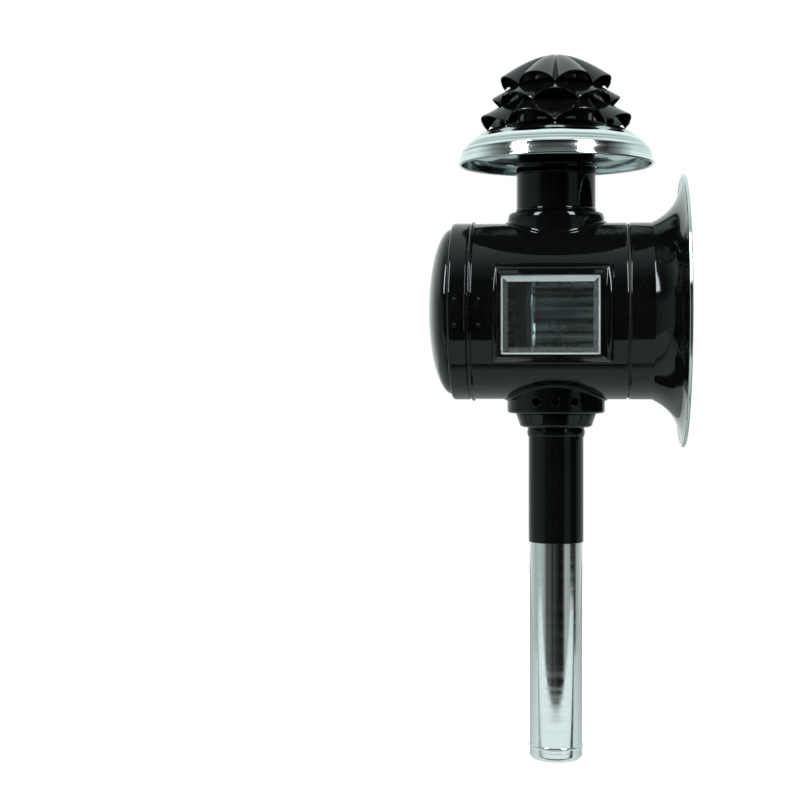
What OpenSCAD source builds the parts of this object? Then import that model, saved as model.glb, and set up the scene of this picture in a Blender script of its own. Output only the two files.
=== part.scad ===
// Carriage lamp: a black candle lamp with a bright trumpet bell, a side window, a hinged rear door,
// a fluted chimney crown and a sprung candle tube that draws out of the stem from below.
// Millimetres, +Z up. The origin is on the stem axis, at the underside of the socket bead.
// The bell faces -Y, the rear door +Y, and the window and the door's hinge are on the -X side.

/* [Stem] */
// Outer radius of the black socket that a bracket grips
socket_r = 15.4; // [14.6:0.1:18]
// Length of the socket below its bead
socket_l = 59.0; // [45:1:80]
// Sheet thickness of the socket
socket_wall = 0.5; // [0.4:0.1:0.8]
// Height that the socket reaches above its bead, into the drum
socket_rise = 22.0; // [20.5:0.5:26]
// Radius of the round bead around the socket's top
bead_r = 2.0; // [1.5:0.1:2.6]
// How far the socket bead stands out of the socket
bead_out = 0.8; // [0.5:0.1:1.4]
// Height of the bead's centre
bead_z = 2.55; // [2.2:0.05:3.2]

/* [Candle tube] */
// Radial running clearance between the candle tube and the socket
tube_gap = 0.08; // [0.04:0.01:0.1]
// Sheet thickness of the candle tube
tube_wall = 0.5; // [0.4:0.1:0.8]
// Length of tube that shows below the socket
tube_show = 121.8; // [90:0.1:140]
// Height of the rolled ring above the tube's bottom edge
ring_up = 7.7; // [6.2:0.1:14]
// How far the rolled ring stands out of the tube
ring_out = 0.35; // [0.2:0.05:0.45]
// Length of the tube's bottom cap that shows
end_cap_l = 5.3; // [4:0.1:7]
// Radius of the bottom cap's round edge
end_round = 3.0; // [2:0.2:4]
// Length of the reduced neck that carries the candle cap
neck_l = 13.0; // [10:0.5:13]
// Height of the candle cap's top above the tube's shoulder
cap_h = 18.4; // [18.2:0.2:21]
// Radius of the hole in the candle cap
cap_hole_r = 6.2; // [4:0.2:8]
// Radius of the candle cap's round shoulder
cap_round = 5.0; // [3:0.2:5]
// Height of the candle cap's top above the drum's lowest line
cap_rise = 19.8; // [14:0.2:24]
// Angle that the bayonet turns through
bayonet_turn = 30; // [20:1:40]
// Radius of the bayonet pins
bayonet_r = 0.9; // [0.7:0.1:1.1]

/* [Candle spring] */
// Wire diameter of the spring
spring_wire = 1.2; // [0.9:0.1:1.5]
// Number of coils in the spring
spring_coils = 30; // [20:1:36]
// Radial gap between the spring and the tube
spring_gap = 1.6; // [1.2:0.1:3]
// Thickness of the follower plate
follower_t = 1.0; // [0.8:0.1:1.6]
// Depth of the follower's skirt inside the spring's top
follower_skirt = 6.0; // [4:0.5:9]

/* [Drip cup and air collar] */
// Height of the drip cup's bottom edge
cup_z = 5.1; // [4.9:0.1:6]
// Height of the drip cup
cup_h = 8.2; // [6:0.2:10]
// Radius of the drip cup's top edge
cup_r = 22.6; // [20:0.2:25]
// Radius of the air collar
collar_r = 27.4; // [26:0.2:30]
// Height from the collar's underside to the drum's lowest line
collar_h = 7.6; // [6.6:0.2:10]
// Sheet thickness of the cup and the collar
collar_wall = 0.8; // [0.6:0.1:1.2]
// Radius of one air hole
air_r = 2.4; // [1.8:0.1:2.8]
// Angle between two air holes
air_step = 22.5; // [20:0.5:26]
// Air holes on each side
air_count = 3; // [1:1:3]
// Height of the air holes above the collar's underside
air_up = 6.8; // [5.5:0.1:7.4]

/* [Drum] */
// Outer radius of the lamp drum
drum_r = 49.5; // [46:0.5:54]
// Sheet thickness of the drum
drum_wall = 0.8; // [0.6:0.1:1.2]
// Distance from the stem axis to the drum's front edge
drum_front = 39.6; // [36:0.2:44]
// Distance from the stem axis to the drum's rear edge
drum_back = 47.2; // [46.5:0.1:50]
// How far the rear bead stands out of the drum
rear_bead = 1.1; // [0.8:0.1:1.5]
// Sheet thickness of the bright lining
liner_wall = 0.5; // [0.4:0.1:0.8]
// Radius of the hole under the chimney
flue_hole_r = 20.6; // [18:0.2:21]
// Radius of the hole over the stem
air_hole_r = 20.0; // [18:0.2:22]

/* [Bell] */
// Radius of the bell's mouth
mouth_r = 75.0; // [68:0.5:82]
// Distance from the stem axis to the bell's mouth
mouth_y = 70.2; // [68:0.2:76]
// Length of the straight neck of the bell
neck_band_l = 12.6; // [10:0.2:14]
// Width of the groove between drum and bell
seam_w = 0.8; // [0.4:0.1:1.4]
// Sheet thickness of the bell
bell_wall = 0.7; // [0.5:0.1:1]
// Sheet thickness of the bell's nickel lining
bell_liner_wall = 0.5; // [0.4:0.1:0.8]
// Radius of the rolled wire edge of the bell
rim_wire_r = 1.0; // [0.8:0.1:1.3]
// How far the flare has opened where its curve bends most
flare_out = 6.8; // [5:0.2:9]
// Distance of the curve's bend behind the mouth
flare_back = 2.0; // [1:0.2:3]

/* [Front glass] */
// Thickness of the front glass
glass_t = 2.6; // [2:0.1:3.5]
// Length of the sleeve that joins drum and bell
sleeve_l = 15.0; // [12:0.5:17]
// Length of the sleeve inside the drum
sleeve_in = 4.6; // [3:0.2:7]
// Sheet thickness of the sleeve
sleeve_wall = 0.7; // [0.5:0.1:1]
// Width of the lip that the front glass rests on
glass_lip = 1.4; // [1:0.1:2]

/* [Reflector] */
// Gap between the reflector's rim and the bright lining
reflector_gap = 5.05; // [4.4:0.05:6]
// Distance of the reflector's rim behind the stem axis
reflector_y = 12.6; // [11:0.2:16]
// Depth of the reflector
reflector_d = 9.8; // [8:0.2:12]
// Width of the stepped rim outside the dish
mirror_rim_w = 7.1; // [5:0.1:9]
// Radius of the central boss
boss_r = 19.4; // [17:0.2:22]
// Radius of the hole in the boss
boss_hole_r = 10.6; // [9:0.2:12]
// Sheet thickness of the reflector
reflector_wall = 0.6; // [0.5:0.1:0.8]

/* [Rear door] */
// How much the door band stands proud of the drum
door_proud = 0.3; // [0.2:0.1:0.8]
// Gap between the drum's rear edge and the door
door_gap = 0.5; // [0.4:0.1:0.8]
// Length of the door band
door_l = 10.2; // [9.6:0.2:13]
// Step from the band in to the dome
dome_step = 3.1; // [2:0.1:5]
// Height of the dome
dome_h = 13.0; // [10:0.5:17]
// Sheet thickness of the door
door_wall = 0.8; // [0.6:0.1:1]
// Depth of the spigot that enters the drum
spigot_l = 4.5; // [3:0.1:5]
// Radial clearance of the spigot in the drum
spigot_gap = 0.4; // [0.3:0.05:0.6]
// Radius of the red tail lens that shows
tail_r = 11.4; // [10.8:0.2:13]
// Overlap of the tail lens behind the dome
tail_lip = 1.4; // [1:0.1:2]

/* [Hinge and catch] */
// Height of the hinge
hinge_h = 19.0; // [15:0.5:24]
// How far the hinge's middle lies below the drum's axis
hinge_drop = 1.8; // [0:0.2:4]
// Radius of the hinge barrel
barrel_r = 1.7; // [1.5:0.1:2]
// Radius of the hinge pin
pin_r = 0.8; // [0.6:0.05:0.9]
// Radial running clearance of the hinge pin
pin_gap = 0.06; // [0.04:0.01:0.1]
// Distance from the drum's surface out to the hinge pin
pin_out = 2.3; // [2.2:0.05:2.8]
// Thickness of the hinge leaves and the catch
leaf_t = 0.75; // [0.6:0.05:0.9]
// Length of the body leaf from the pin
body_leaf_l = 8.4; // [7.5:0.1:9]
// Length of the door leaf from the pin
door_leaf_l = 8.8; // [7.5:0.1:9]
// Distance between the two rivets of a leaf
rivet_pitch = 13.8; // [11:0.2:15]
// Radius of a rivet's head
rivet_r = 1.0; // [0.8:0.1:1.3]
// Width of the catch tongue
catch_w = 7.0; // [5:0.5:10]
// Radius of the catch stud
stud_r = 1.6; // [1.2:0.1:2]

/* [Side window] */
// Width of the window's clear opening
window_w = 52.8; // [46:0.2:56]
// Height of the window's clear opening
window_h = 42.4; // [38:0.2:46]
// Distance of the window's centre behind the stem axis
window_y = 2.1; // [0:0.1:4]
// How far the window's centre lies below the drum's axis
window_drop = 3.2; // [0:0.1:4]
// Width of the mitred bezel at the sides
bezel_w = 6.2; // [4:0.1:8]
// Height of the mitred bezel at the top and bottom
bezel_h = 5.6; // [4:0.1:7]
// How far the bezel's outline sits forward of its opening
bezel_fore = 1.0; // [0:0.1:1.4]
// How far the bezel's outline sits above its opening
bezel_up = 1.2; // [0:0.1:1.4]
// How far the bezel's inner edge stands out of the drum
bezel_out = 2.5; // [2:0.1:3.5]
// How far the bezel's outer edge stands out of the drum
bezel_edge = 0.5; // [0.3:0.1:1]
// Thickness of the window glass at its edge
pane_t = 1.4; // [1:0.1:2]
// Width of the bevel on the window glass
pane_bevel = 4.2; // [3:0.1:5.5]
// Height of the bevel on the window glass
pane_rise = 2.0; // [1.2:0.1:2.4]
// Width of a window clip
clip_w = 8.0; // [5:0.5:12]
// Thickness of a window clip
clip_t = 0.5; // [0.4:0.1:0.8]

/* [Chimney] */
// Radius of the chimney's base collar
chimney_base_r = 27.0; // [25:0.2:29]
// Height of the base collar above the drum's top line
chimney_base_h = 5.4; // [4:0.2:8]
// Radius of the chimney tube
chimney_r = 22.1; // [21.6:0.1:23.5]
// Sheet thickness of the chimney tube
chimney_wall = 0.8; // [0.6:0.1:1]
// Height of the chimney tube above the drum's top line
chimney_h = 55.4; // [52:0.2:60]
// How far a chimney bead stands out of the tube
chimney_bead = 0.8; // [0.5:0.1:1.1]
// Height of the lower chimney bead below the tube's top
bead_low = 28.0; // [26:0.2:30]
// Height of the upper chimney bead below the tube's top
bead_high = 23.4; // [20:0.2:24.4]

/* [Rain canopy] */
// Radius of the canopy's rim
canopy_r = 54.3; // [50:0.5:58]
// Height of the canopy
canopy_h = 22.2; // [18:0.2:24]
// Sheet thickness of the canopy
canopy_wall = 0.7; // [0.5:0.1:1]
// Radius of the canopy's rolled rim
canopy_bead_r = 0.8; // [0.6:0.1:1.1]

/* [Crown] */
// Petals in each tier of the crown
petals = 8; // [6:1:10]
// Sheet thickness of the petals
petal_t = 0.6; // [0.5:0.1:0.8]
// Radius of the perforated core inside the crown
core_r = 21.2; // [20.6:0.1:21.2]
// Sheet thickness of the core
core_wall = 0.6; // [0.5:0.1:0.8]
// Height of the crown's top above the canopy's crown
crown_h = 39.4; // [39.2:0.1:44]
// Radius of the lowest tier at its petal tips
low_tip_r = 43.6; // [42.6:0.1:45]
// Height of the lowest tier's tips above the canopy's crown
low_tip_up = 3.4; // [3.2:0.1:5]
// Height of a petal's arch at the lowest tier's edge
low_arch_h = 5.7; // [4:0.1:5.8]
// How far the valleys of the lowest tier fall short of its tips
low_arch_in = 5.2; // [4:0.1:5.4]
// Radius of the middle tier at its petal tips
mid_tip_r = 35.9; // [34:0.1:36.4]
// Height of the middle tier's tips above the lowest tier's
mid_tip_up = 11.9; // [11.7:0.1:13]
// Height of a petal's arch at the middle tier's edge
mid_arch_h = 5.1; // [4:0.1:5.3]
// Radius of the top tier at its petal tips
top_tip_r = 32.1; // [31:0.1:33]
// Height of the top tier's tips above the middle tier's
top_tip_up = 10.4; // [10.1:0.1:11]
// Height of a petal's arch at the top tier's edge
top_arch_h = 5.3; // [4:0.1:5.5]
// How far the valleys of the upper tiers fall short of their tips
arch_in = 3.3; // [2:0.1:3.6]
// Slope of the lower tiers' ridges
ridge_slope = 28; // [25:0.5:28.5]
// Radius of the stud that ties the crown down
crown_stud_r = 2.0; // [1.5:0.1:2.6]

/* [Hidden] */

$fn = 96;
// A seam between two soldered pieces, and a cut's overrun past a face
seat = 0.05;
over = 1;
// The gap that loose pieces keep from what they rest by
ease = 0.3;

// Heights that follow from the stem upwards
collar_z = cup_z + cup_h;
drum_low = collar_z + collar_h;
drum_z = drum_low + drum_r;
drum_top = drum_z + drum_r;
chimney_top = drum_top + chimney_h;
canopy_rim_z = chimney_top - canopy_h;
flange_t = 0.6;

// Radii that nest inside one another
lining_r = drum_r - drum_wall - seat;
lining_in = lining_r - liner_wall;
sleeve_bore = lining_r - sleeve_wall;
reflector_r = lining_in - reflector_gap;
dish_mirror_r = reflector_r - mirror_rim_w;
door_r = drum_r + door_proud;
dome_r = door_r - dome_step;
door_y = drum_back + door_gap;
bell_neck_y = drum_front + seam_w;
flare_y = bell_neck_y + neck_band_l;
socket_bore = socket_r - socket_wall;
upper_socket_r = socket_r + 0.3;
tube_r = socket_bore - tube_gap;
tube_in = tube_r - tube_wall;
tube_low = -socket_l - tube_show;
cap_top = drum_low + cap_rise;
tube_shoulder = cap_top - cap_h;
neck_r = tube_r - 0.8;
cap_r = tube_r - 0.2;
cap_wall = 0.5;
tube_cap_in = 0.5;
end_cap_top = tube_low + end_cap_l;

// The spring stands on the tube's bottom and pushes the follower up under the candle cap
spring_r = neck_r - tube_wall - spring_gap - spring_wire / 2;
spring_low = tube_low + tube_cap_in + ease;
follower_r = neck_r - tube_wall - 0.5;
shoulder_in = cap_round - cap_wall;
shoulder_x = follower_r - cap_r + cap_round;
follower_top = cap_top - cap_round + sqrt(pow(shoulder_in, 2) - pow(shoulder_x, 2)) - ease;
spring_top = follower_top - follower_t - seat;

// Window levels, out from the stem axis along -X
window_z = drum_z - window_drop;
bezel_face = drum_r + bezel_out;
bezel_side = drum_r + bezel_edge;
lip_t = 1.3;
pocket_x = bezel_face - lip_t;
pocket_w = window_w + 2.0;
pocket_h = window_h + 2.0;
pane_w = pocket_w - 0.4;
pane_h = pocket_h - 0.4;
pane_front = pocket_x - ease;
pane_back = pane_front - pane_t;

// Hinge and catch
hinge_x = drum_r + pin_out;
hinge_y = drum_back;
hinge_z = drum_z - hinge_drop;
knuckle_h = (hinge_h - 2 * 0.3) / 3;
knuckle_gap = 0.3;
leaf_r = drum_r + seat;
door_leaf_r = door_r + seat;
tongue_r = drum_r + rear_bead + 0.4;
body_rivet_y = hinge_y - body_leaf_l + 1.9;
door_rivet_y = hinge_y + door_leaf_l - 2.2;
stud_y = drum_back - 2 * rear_bead - stud_r - ease;

// Unit vector along v, and the square normal to the left of an edge
function unit(v) = v / norm(v);
function edge_normal(a, b) = let (d = unit(b - a)) [-d[1], d[0]];

// A line of points moved sideways by t, mitred at its corners
function beside(p, t) = [
    for (i = [0 : len(p) - 1])
        let (
            n0 = edge_normal(p[max(i - 1, 0)], p[max(i, 1)]),
            n1 = edge_normal(p[min(i, len(p) - 2)], p[min(i + 1, len(p) - 1)]),
            m = unit(n0 + n1)
        )
        p[i] + m * t / (m * n0)
];

// The closed outline of a sheet of thickness t along a line of points
function sheet(p, t) = concat(p, [for (i = [len(p) - 1 : -1 : 0]) beside(p, t)[i]]);

// Points of an arc, and of a curve that leaves a towards b and arrives at c from b
function arc(centre, rx, ry, from, to, n) = [
    for (i = [0 : n])
        let (a = from + (to - from) * i / n)
        centre + [rx * cos(a), ry * sin(a)]
];
function bend(a, b, c, n) = [
    for (i = [0 : n])
        let (u = i / n)
        a * (1 - u) * (1 - u) + b * 2 * u * (1 - u) + c * u * u
];

// A round tube along Z, and a revolved outline of [radius, height] points
module pipe(r_out, r_in, low, high) {
    translate([0, 0, low])
        difference() {
            cylinder(r = r_out, h = high - low);
            translate([0, 0, -over])
                cylinder(r = r_in, h = high - low + 2 * over);
        }
}

module turned(points, sweep = 360) {
    rotate_extrude(angle = sweep)
        polygon(points);
}

// Places children drawn about Z along the drum's axis, their height running towards the rear door
module along_drum() {
    translate([0, 0, drum_z])
        rotate([-90, 0, 0])
            children();
}

module along_drum_turned(angle) {
    along_drum()
        rotate([0, 0, angle])
            children();
}

// Solid space of the drum, used to cut what sits on its surface
module drum_space(r) {
    along_drum()
        translate([0, 0, -drum_front * 2])
            cylinder(r = r, h = drum_front * 4);
}

// Upright holes through the drum's top and bottom and the window's cut in its side
module drum_cuts() {
    translate([0, 0, drum_z])
        cylinder(r = flue_hole_r, h = drum_r + over);
    translate([0, 0, drum_low - over])
        cylinder(r = air_hole_r, h = drum_r);
    translate([-drum_r - over, window_y - pocket_w / 2, window_z - pocket_h / 2])
        cube([drum_r / 2, pocket_w, pocket_h]);
}

module stem_socket() {
    color("black") {
        pipe(socket_r, socket_bore, -socket_l, 0);
        pipe(upper_socket_r, socket_bore, 0, socket_rise);
    }
}

module socket_bead_ring() {
    inner = upper_socket_r + seat;
    color("black")
        turned(arc([inner, bead_z], socket_r + bead_out - inner, bead_r, -90, 90, 10));
}

module drip_cup() {
    // The cup's corner rolls out from the socket, then its side flares up to the collar
    inner = upper_socket_r + seat;
    flare_out = 2.0;
    corner_r = cup_r - flare_out;
    corner_z = cup_z + 2.5;
    tip_up = collar_wall * flare_out / (collar_z - corner_z);
    side = concat(
        bend([inner, cup_z], [corner_r, cup_z], [corner_r, corner_z], 6),
        [[cup_r, collar_z - tip_up - seat]]
    );
    color("black")
        turned(sheet(side, collar_wall));
}

module air_collar() {
    inner = upper_socket_r + seat;
    round_r = 1.6;
    side = concat(
        [[inner, collar_z]],
        arc([collar_r - round_r, collar_z + round_r], round_r, round_r, -90, 0, 6),
        [[collar_r, drum_z]]
    );
    color("black")
        difference() {
            union() {
                turned(sheet(side, collar_wall));
                translate([0, 0, drum_low])
                    cylinder(r = collar_r + 1.4, h = drum_r / 2);
            }
            drum_space(drum_r + seat);
            difference() {
                translate([0, 0, drum_low - over])
                    pipe(collar_r + over + 1.4, collar_r, 0, drum_r);
                drum_space(drum_r + seat + flange_t);
            }
            translate([0, 0, collar_z + collar_wall])
                cylinder(r = collar_r - collar_wall, h = drum_r);
            for (side_turn = [0, 180], i = [0 : air_count - 1])
                rotate([0, 0, side_turn + (i - (air_count - 1) / 2) * air_step])
                    translate([collar_r - 4 * collar_wall, 0, collar_z + air_up])
                        rotate([0, 90, 0])
                            cylinder(r = air_r, h = 8 * collar_wall);
        }
}

module drum_shell() {
    bead_y = drum_back - rear_bead;
    color("black")
        difference() {
            along_drum()
                union() {
                    pipe(drum_r, drum_r - drum_wall, -drum_front, drum_back);
                    turned(concat(
                        [[drum_r - drum_wall / 2, bead_y - rear_bead]],
                        arc([drum_r, bead_y], rear_bead, rear_bead, -90, 90, 8),
                        [[drum_r - drum_wall / 2, bead_y + rear_bead]]
                    ));
                }
            drum_cuts();
            rivet_holes(body_rivet_y);
            // The bead stops either side of the hinge
            difference() {
                translate([-drum_r * 1.1, bead_y - 2 * rear_bead, hinge_z - hinge_h / 2 - 1])
                    cube([drum_r / 2, 4 * rear_bead, hinge_h + 2]);
                drum_space(drum_r);
            }
        }
}

module drum_lining() {
    color("silver")
        difference() {
            along_drum()
                pipe(lining_r, lining_in, -drum_front + sleeve_in, door_y - spigot_l - ease);
            drum_cuts();
        }
}

module front_sleeve() {
    // A bright sleeve inside drum and bell, with a lip behind the front glass
    front = drum_front - sleeve_in + sleeve_l;
    lip_y = drum_front - sleeve_in + 2.4;
    color("silver")
        along_drum()
            union() {
                pipe(lining_r, sleeve_bore, -front, -drum_front + sleeve_in);
                pipe(lining_r, sleeve_bore - glass_lip, -lip_y, -lip_y + sleeve_wall);
            }
}

glass_y = drum_front - sleeve_in + 2.4;

module front_glass() {
    color([0.85, 0.95, 0.95, 0.4])
        along_drum()
            translate([0, 0, -glass_y - glass_t])
                cylinder(r = sleeve_bore - seat, h = glass_t);
}

module front_glass_ring() {
    ring_t = 1.6;
    outer = sleeve_bore - seat;
    color("silver")
        along_drum()
            turned(concat(
                [[outer, -glass_y - glass_t]],
                [[outer, -glass_y - glass_t - ring_t]],
                arc([outer - ring_t / 2, -glass_y - glass_t - ring_t / 2], ring_t / 2, ring_t / 2, -90, -180, 5),
                [[outer - ring_t, -glass_y - glass_t]]
            ));
}

// The bell's outside, from its neck to the wire at its mouth
bell_stack = bell_wall + seat + bell_liner_wall;
flare = bend(
    [drum_r, -flare_y],
    [drum_r + flare_out, -mouth_y + flare_back],
    [mouth_r - rim_wire_r - 3 * seat, -mouth_y + bell_stack / 2],
    10
);

module front_bell() {
    color("black")
        along_drum()
            turned(sheet(concat([[drum_r, -bell_neck_y]], flare), -bell_wall));
}

module bell_lining() {
    // The nickel lining follows the bell's inside from the sleeve's end to the mouth
    inside = beside(flare, -bell_wall - seat);
    start = [inside[0][0], -flare_y + 0.4];
    color("silver")
        along_drum()
            turned(sheet(concat([start], inside), -bell_liner_wall));
}

module bell_rim_wire() {
    // The wire runs round the two sheets' edge
    color("silver")
        along_drum()
            rotate_extrude()
                translate([mouth_r, -mouth_y])
                    circle(r = rim_wire_r, $fn = 32);
}

// The reflector's front face from its rim to the boss, stepped and then dished
mirror_step = reflector_y + 1.6;
mirror_back = reflector_y + reflector_d;
mirror_skirt = 2.4;
mirror_line = concat(
    [[reflector_r, reflector_y + mirror_skirt], [reflector_r, reflector_y]],
    [[reflector_r - 1.2, reflector_y]],
    [[dish_mirror_r + 0.6, mirror_step], [dish_mirror_r, mirror_step + 1.4]],
    bend([dish_mirror_r - 0.2, mirror_step + 1.5], [boss_r + 9, mirror_back], [boss_r + 1.2, mirror_back], 7)
);

// The candle cap has a notch of its own in the reflector
module cap_clearance() {
    translate([0, 0, drum_low - over])
        cylinder(r = tube_r + 1.2, h = cap_rise + 3 * over);
}

module reflector() {
    color("silver")
        difference() {
            along_drum()
                turned(sheet(concat(mirror_line, [[boss_r - 3, mirror_back]]), -reflector_wall));
            cap_clearance();
        }
}

module reflector_boss() {
    // A ferrule with a rolled front edge and a floor around the hole for the tail light
    front = reflector_y + 1.2;
    roll = 1.3;
    side = concat(
        [[boss_r, mirror_back - seat]],
        arc([boss_r - roll, front + roll], roll, roll, 0, -180, 8),
        [[boss_r - 2 * roll - 0.4, mirror_back - 3.4], [boss_hole_r, mirror_back - 1.8]]
    );
    color("silver")
        along_drum()
            turned(sheet(side, 0.5));
}

module reflector_brackets() {
    // Three straps from the lining to the back of the reflector's stepped rim
    strap_w = 8;
    back = reflector_y + mirror_skirt + seat;
    foot = 9;
    color("silver")
        along_drum()
            for (turn = [30, 150, 270])
                rotate([0, 0, turn - 180 / PI * strap_w / 2 / lining_in])
                    turned(
                        [
                            [lining_in - seat, back + foot],
                            [lining_in - seat - 0.8, back + foot],
                            [lining_in - seat - 0.8, back + 0.8],
                            [dish_mirror_r + 2, back + 0.8],
                            [dish_mirror_r + 2, back],
                            [lining_in - seat, back]
                        ],
                        180 / PI * strap_w / lining_in
                    );
}

// A block on the window side: depth from x_in out to x_out, w along Y and h along Z
module side_block(x_in, x_out, w, h, y = window_y, z = window_z) {
    translate([-x_out, y - w / 2, z - h / 2])
        cube([x_out - x_in, w, h]);
}

module window_frame() {
    outer_w = window_w + 2 * bezel_w;
    outer_h = window_h + 2 * bezel_h;
    outer_y = window_y - bezel_fore;
    outer_z = window_z + bezel_up;
    skin = 0.1;
    color("black")
        difference() {
            union() {
                side_block(drum_r * 0.7, bezel_side, outer_w, outer_h, outer_y, outer_z);
                hull() {
                    side_block(bezel_side - skin, bezel_side, outer_w, outer_h, outer_y, outer_z);
                    side_block(bezel_face - skin, bezel_face, window_w + 0.8, window_h + 0.8);
                }
            }
            drum_space(drum_r + seat);
            side_block(drum_r / 2, bezel_face + over, window_w, window_h);
            side_block(drum_r / 2, pocket_x, pocket_w, pocket_h);
        }
}

module window_glass() {
    color([0.85, 0.95, 0.95, 0.4])
        hull() {
            side_block(pane_back, pane_front, pane_w, pane_h);
            side_block(
                pane_back, pane_front + pane_rise,
                window_w + 0.8 - 2 * pane_bevel, window_h + 0.8 - 2 * pane_bevel
            );
        }
}

module window_clips() {
    // Bent straps from the pocket's wall over the back of the glass
    reach = 0.62 * pane_bevel;
    leg = reach;
    step = window_w / 4;
    color("silver")
        for (along = [-1, 1], up = [-1, 1]) {
            wall_z = window_z + up * (pocket_h / 2 - seat);
            y0 = window_y + along * step;
            side_block(
                pane_back - clip_t, pane_back, clip_w, reach,
                y0, wall_z - up * reach / 2
            );
            side_block(
                pane_back - leg, pane_back, clip_w, clip_t,
                y0, wall_z - up * clip_t / 2
            );
        }
}

module chimney_collar() {
    top = drum_top + chimney_base_h;
    round_r = 2.4;
    side = concat(
        [[chimney_base_r, drum_z]],
        arc([chimney_base_r - round_r, top - round_r], round_r, round_r, 0, 90, 6),
        [[chimney_r + seat, top]]
    );
    color("black")
        difference() {
            union() {
                turned(sheet(side, chimney_wall));
                translate([0, 0, drum_z + drum_r / 2])
                    cylinder(r = chimney_base_r + 1.4, h = drum_r / 2 + 0.5);
            }
            drum_space(drum_r + seat);
            difference() {
                translate([0, 0, drum_z])
                    pipe(chimney_base_r + over + 1.4, chimney_base_r, 0, drum_r + over);
                drum_space(drum_r + seat + flange_t);
            }
            translate([0, 0, drum_z])
                cylinder(r = chimney_base_r - chimney_wall, h = top - chimney_wall - drum_z);
            translate([0, 0, drum_z])
                cylinder(r = chimney_r + seat, h = drum_r * 2);
        }
}

module chimney_tube() {
    color("black")
        difference() {
            union() {
                pipe(chimney_r, chimney_r - chimney_wall, drum_z + drum_r / 2, chimney_top);
                for (down = [bead_low, bead_high])
                    translate([0, 0, chimney_top - down])
                        turned(concat(
                            [[chimney_r - chimney_wall / 2, -chimney_bead]],
                            arc([chimney_r, 0], chimney_bead, chimney_bead, -90, 90, 8),
                            [[chimney_r - chimney_wall / 2, chimney_bead]]
                        ));
            }
            drum_space(drum_r + seat);
        }
}

// The canopy's outside: a short upright skirt, a crease and a domed crown
canopy_knee = [canopy_r - 1.4, canopy_rim_z + canopy_h * 0.3];
canopy_hole_r = chimney_r + seat;
canopy_line = concat(
    [[canopy_r, canopy_rim_z], canopy_knee],
    bend(canopy_knee + [-0.2, 0.4], [canopy_r * 0.783, chimney_top - 0.9], [canopy_hole_r, chimney_top], 9)
);

module rain_canopy() {
    color("silver")
        union() {
            turned(sheet(canopy_line, canopy_wall));
            translate([0, 0, canopy_rim_z])
                rotate_extrude()
                    translate([canopy_r - canopy_wall / 2, 0])
                        circle(r = canopy_bead_r, $fn = 32);
        }
}

// One tier of the crown: tip and valley of its edge, the inner ring it rises to, and its turn
low_tip = [low_tip_r, chimney_top + low_tip_up];
mid_tip = [mid_tip_r, low_tip[1] + mid_tip_up];
top_tip = [top_tip_r, mid_tip[1] + top_tip_up];
crown_top = chimney_top + crown_h;
tier_steps = 12;

function ridge_at(tip, r) = [r, tip[1] + (tip[0] - r) * tan(ridge_slope)];

// 1 on a petal's ridge and 0 in the valley beside it, along a round arch
function arch(turn) =
    let (
        u = 2 * abs(turn * petals / 360 - round(turn * petals / 360)),
        k = 1.3
    )
    (sqrt(k * k - u * u) - sqrt(k * k - 1)) / (k - sqrt(k * k - 1));

// A point of a tier's upper skin, s from its inner ring at 0 to its edge at 1;
// low is how far its valleys drop and fall short at the edge
function petal_point(tip, ring, knee, low, first, turn, s) =
    let (
        a = arch(turn - first),
        ridge = ring * (1 - s) * (1 - s) + knee * 2 * s * (1 - s) + tip * s * s,
        r = ridge[0] - low[1] * (1 - a) * s * s,
        reach = ridge[0] / tip[0] * (ring[0] == 0 ? 1 : s),
        z = ridge[1] - low[0] * (1 - a) * reach
    )
    [r * cos(turn), r * sin(turn), z];

module petal_tier(tip, ring, knee, low, first) {
    rows = 5;
    count = petals * tier_steps;
    closed = ring[0] == 0;
    first_row = closed ? 1 : 0;
    upper = [
        for (j = [first_row : rows], i = [0 : count - 1])
            petal_point(tip, ring, knee, low, first, i * 360 / count, j / rows)
    ];
    lower = [for (p = upper) p - [0, 0, petal_t]];
    n = len(upper);
    bands = rows - first_row;
    peak = [[0, 0, ring[1]], [0, 0, ring[1] - petal_t]];
    skins = [
        for (j = [0 : bands - 1], i = [0 : count - 1])
            let (
                a = j * count + i,
                b = j * count + (i + 1) % count,
                c = a + count,
                d = b + count
            )
            each [[a, c, b], [b, c, d], [n + a, n + b, n + c], [n + b, n + d, n + c]]
    ];
    edge = [
        for (i = [0 : count - 1])
            let (a = bands * count + i, b = bands * count + (i + 1) % count)
            each [[a, n + a, b], [b, n + a, n + b]]
    ];
    inner = closed
        ? [
            for (i = [0 : count - 1])
                let (b = (i + 1) % count)
                each [[2 * n, i, b], [2 * n + 1, n + b, n + i]]
        ]
        : [
            for (i = [0 : count - 1])
                let (b = (i + 1) % count)
                each [[i, b, n + i], [b, n + b, n + i]]
        ];
    color([0.05, 0.05, 0.05])
        polyhedron(concat(upper, lower, peak), [for (f = concat(skins, edge, inner)) [f[2], f[1], f[0]]]);
}

module crown_tier_low() {
    ring = ridge_at(low_tip, core_r + seat);
    petal_tier(low_tip, ring, (low_tip + ring) / 2, [low_arch_h, low_arch_in], 180 / petals);
}

module crown_tier_mid() {
    ring = ridge_at(mid_tip, core_r + seat);
    petal_tier(mid_tip, ring, (mid_tip + ring) / 2, [mid_arch_h, arch_in], 0);
}

module crown_tier_top() {
    petal_tier(top_tip, [0, crown_top], [top_tip_r * 0.38, crown_top], [top_arch_h, arch_in], 180 / petals);
}

core_low = chimney_top - 7;
core_high = top_tip[1] + 1.1;

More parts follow.
